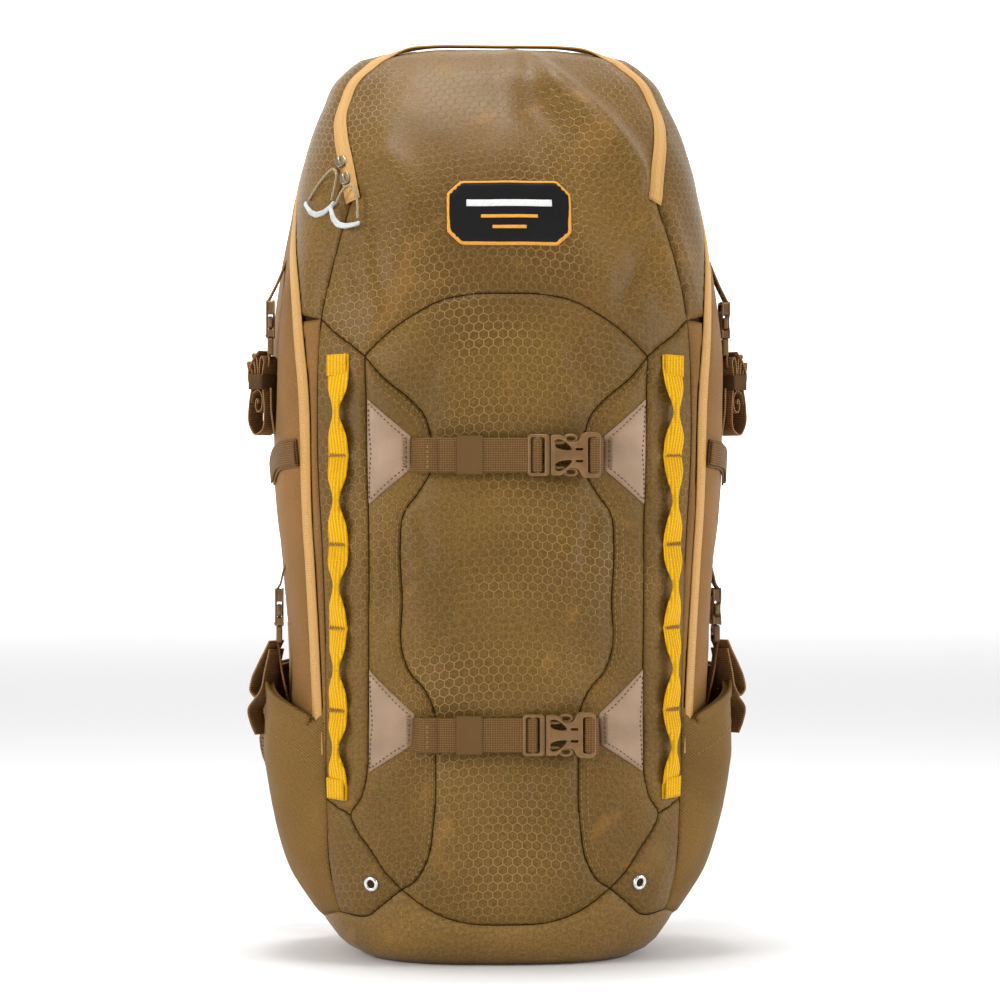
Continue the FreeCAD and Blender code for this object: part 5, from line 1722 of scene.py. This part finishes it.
class PaddingLook(bpy.types.PropertyGroup):
    """Sizes of the padded harness."""
    strap_width: size_setting("Shoulder strap width", "Width of a padded shoulder strap", 0.057)
    wing_width: size_setting("Hip wing width", "Height of a padded hip wing", 0.079)
    thickness: size_setting("Padding thickness", "Thickness of straps and wings", 0.0115)
    mesh_cell: size_setting("Mesh cell", "Width of one opening of the spacer mesh", 0.0035)


class BACKPACK_OT_shell(bpy.types.Operator):
    """Lay the dark sheet of painted seam shade and every sewn cloth panel"""
    bl_idname = "backpack.shell"
    bl_label = "Cloth panels"

    def execute(self, context):
        make_shell()
        return {"FINISHED"}


class BACKPACK_OT_side_pockets(bpy.types.Operator):
    """Stretch the open pockets over both sides"""
    bl_idname = "backpack.side_pockets"
    bl_label = "Side pockets"

    def execute(self, context):
        make_side_pockets()
        return {"FINISHED"}


class BACKPACK_OT_patches(bpy.types.Operator):
    """Sew the leatherette patches that hold the front straps"""
    bl_idname = "backpack.patches"
    bl_label = "Strap patches"

    def execute(self, context):
        make_patches()
        return {"FINISHED"}


class BACKPACK_OT_topstitching(bpy.types.Operator):
    """Run the topstitching and the painted shade lines of the seams"""
    bl_idname = "backpack.topstitching"
    bl_label = "Seams and stitches"

    def execute(self, context):
        make_topstitching()
        return {"FINISHED"}


class BACKPACK_OT_label(bpy.types.Operator):
    """Sew the plain woven label on the lid"""
    bl_idname = "backpack.label"
    bl_label = "Label"

    def execute(self, context):
        make_label()
        return {"FINISHED"}


class BACKPACK_OT_eyelets(bpy.types.Operator):
    """Set the drain eyelets"""
    bl_idname = "backpack.eyelets"
    bl_label = "Drain eyelets"

    def execute(self, context):
        make_eyelets()
        return {"FINISHED"}


class BACKPACK_OT_lash_loops(bpy.types.Operator):
    """Bar-tack the bright lash webbing down both strips"""
    bl_idname = "backpack.lash_loops"
    bl_label = "Lash loops"

    def execute(self, context):
        make_chains()
        return {"FINISHED"}


class BACKPACK_OT_zips(bpy.types.Operator):
    """Sew in the lid's zip and the main zip"""
    bl_idname = "backpack.zips"
    bl_label = "Zips"

    def execute(self, context):
        make_zips()
        return {"FINISHED"}


class BACKPACK_OT_front_straps(bpy.types.Operator):
    """Fit the two buckled straps across the front"""
    bl_idname = "backpack.front_straps"
    bl_label = "Front straps"

    def execute(self, context):
        make_front_straps()
        return {"FINISHED"}


class BACKPACK_OT_sliders(bpy.types.Operator):
    """Add the zip sliders"""
    bl_idname = "backpack.sliders"
    bl_label = "Zip sliders"

    def execute(self, context):
        make_sliders()
        return {"FINISHED"}


class BACKPACK_OT_pulls(bpy.types.Operator):
    """Hang the pull cords and their moulded grips on the lid's sliders"""
    bl_idname = "backpack.pulls"
    bl_label = "Zip pulls"

    def execute(self, context):
        make_pulls()
        return {"FINISHED"}


class BACKPACK_OT_side_straps(bpy.types.Operator):
    """Fit the compression straps and their spare webbing"""
    bl_idname = "backpack.side_straps"
    bl_label = "Side straps"

    def execute(self, context):
        make_sides()
        return {"FINISHED"}


class BACKPACK_OT_harness(bpy.types.Operator):
    """Build the back pads, shoulder straps and hip wings"""
    bl_idname = "backpack.harness"
    bl_label = "Padded harness"

    def execute(self, context):
        make_harness()
        return {"FINISHED"}


class BACKPACK_OT_harness_buckles(bpy.types.Operator):
    """Fit the hip and sternum buckles and the haul handle"""
    bl_idname = "backpack.harness_buckles"
    bl_label = "Harness buckles"

    def execute(self, context):
        make_harness_buckles()
        return {"FINISHED"}


class BACKPACK_OT_inner_frame(bpy.types.Operator):
    """Finish the stiffening sheet and stays inside the back"""
    bl_idname = "backpack.inner_frame"
    bl_label = "Inner frame"

    def execute(self, context):
        make_inner_frame()
        return {"FINISHED"}


class BACKPACK_OT_stage(bpy.types.Operator):
    """Set up the floor, backdrop, lights and camera"""
    bl_idname = "backpack.stage"
    bl_label = "Stage"

    def execute(self, context):
        make_stage()
        return {"FINISHED"}


STEPS = (BACKPACK_OT_shell, BACKPACK_OT_side_pockets, BACKPACK_OT_patches, BACKPACK_OT_topstitching,
         BACKPACK_OT_label, BACKPACK_OT_eyelets, BACKPACK_OT_lash_loops, BACKPACK_OT_zips,
         BACKPACK_OT_front_straps, BACKPACK_OT_sliders, BACKPACK_OT_pulls, BACKPACK_OT_side_straps,
         BACKPACK_OT_harness, BACKPACK_OT_harness_buckles, BACKPACK_OT_inner_frame, BACKPACK_OT_stage)
SETTINGS = (("pack_cloth", ClothLook), ("pack_webbing", WebbingLook), ("pack_padding", PaddingLook))


class VIEW3D_PT_backpack(bpy.types.Panel):
    """Settings and building steps of the backpack"""
    bl_label = "Backpack"
    bl_space_type = "VIEW_3D"
    bl_region_type = "UI"
    bl_category = "Backpack"

    def draw(self, context):
        for name, group in SETTINGS:
            box = self.layout.box()
            for key in group.__annotations__:
                box.prop(getattr(context.scene, name), key)
        for step in STEPS:
            self.layout.operator(step.bl_idname)


def register():
    """Add the settings, the steps and the panel to Blender."""
    for name, group in SETTINGS:
        bpy.utils.register_class(group)
        setattr(bpy.types.Scene, name, bpy.props.PointerProperty(type=group))
    for item in STEPS + (VIEW3D_PT_backpack,):
        bpy.utils.register_class(item)


def unregister():
    """Take them out again, in the opposite order."""
    for item in (VIEW3D_PT_backpack,) + STEPS[::-1]:
        bpy.utils.unregister_class(item)
    for name, group in SETTINGS:
        delattr(bpy.types.Scene, name)
        bpy.utils.unregister_class(group)


def main():
    register()
    bpy.ops.backpack.shell()
    bpy.ops.backpack.side_pockets()
    bpy.ops.backpack.patches()
    bpy.ops.backpack.topstitching()
    bpy.ops.backpack.label()
    bpy.ops.backpack.eyelets()
    bpy.ops.backpack.lash_loops()
    bpy.ops.backpack.zips()
    bpy.ops.backpack.front_straps()
    bpy.ops.backpack.sliders()
    bpy.ops.backpack.pulls()
    bpy.ops.backpack.side_straps()
    bpy.ops.backpack.harness()
    bpy.ops.backpack.harness_buckles()
    bpy.ops.backpack.inner_frame()
    bpy.ops.backpack.stage()


if __name__ == "__main__":
    main()
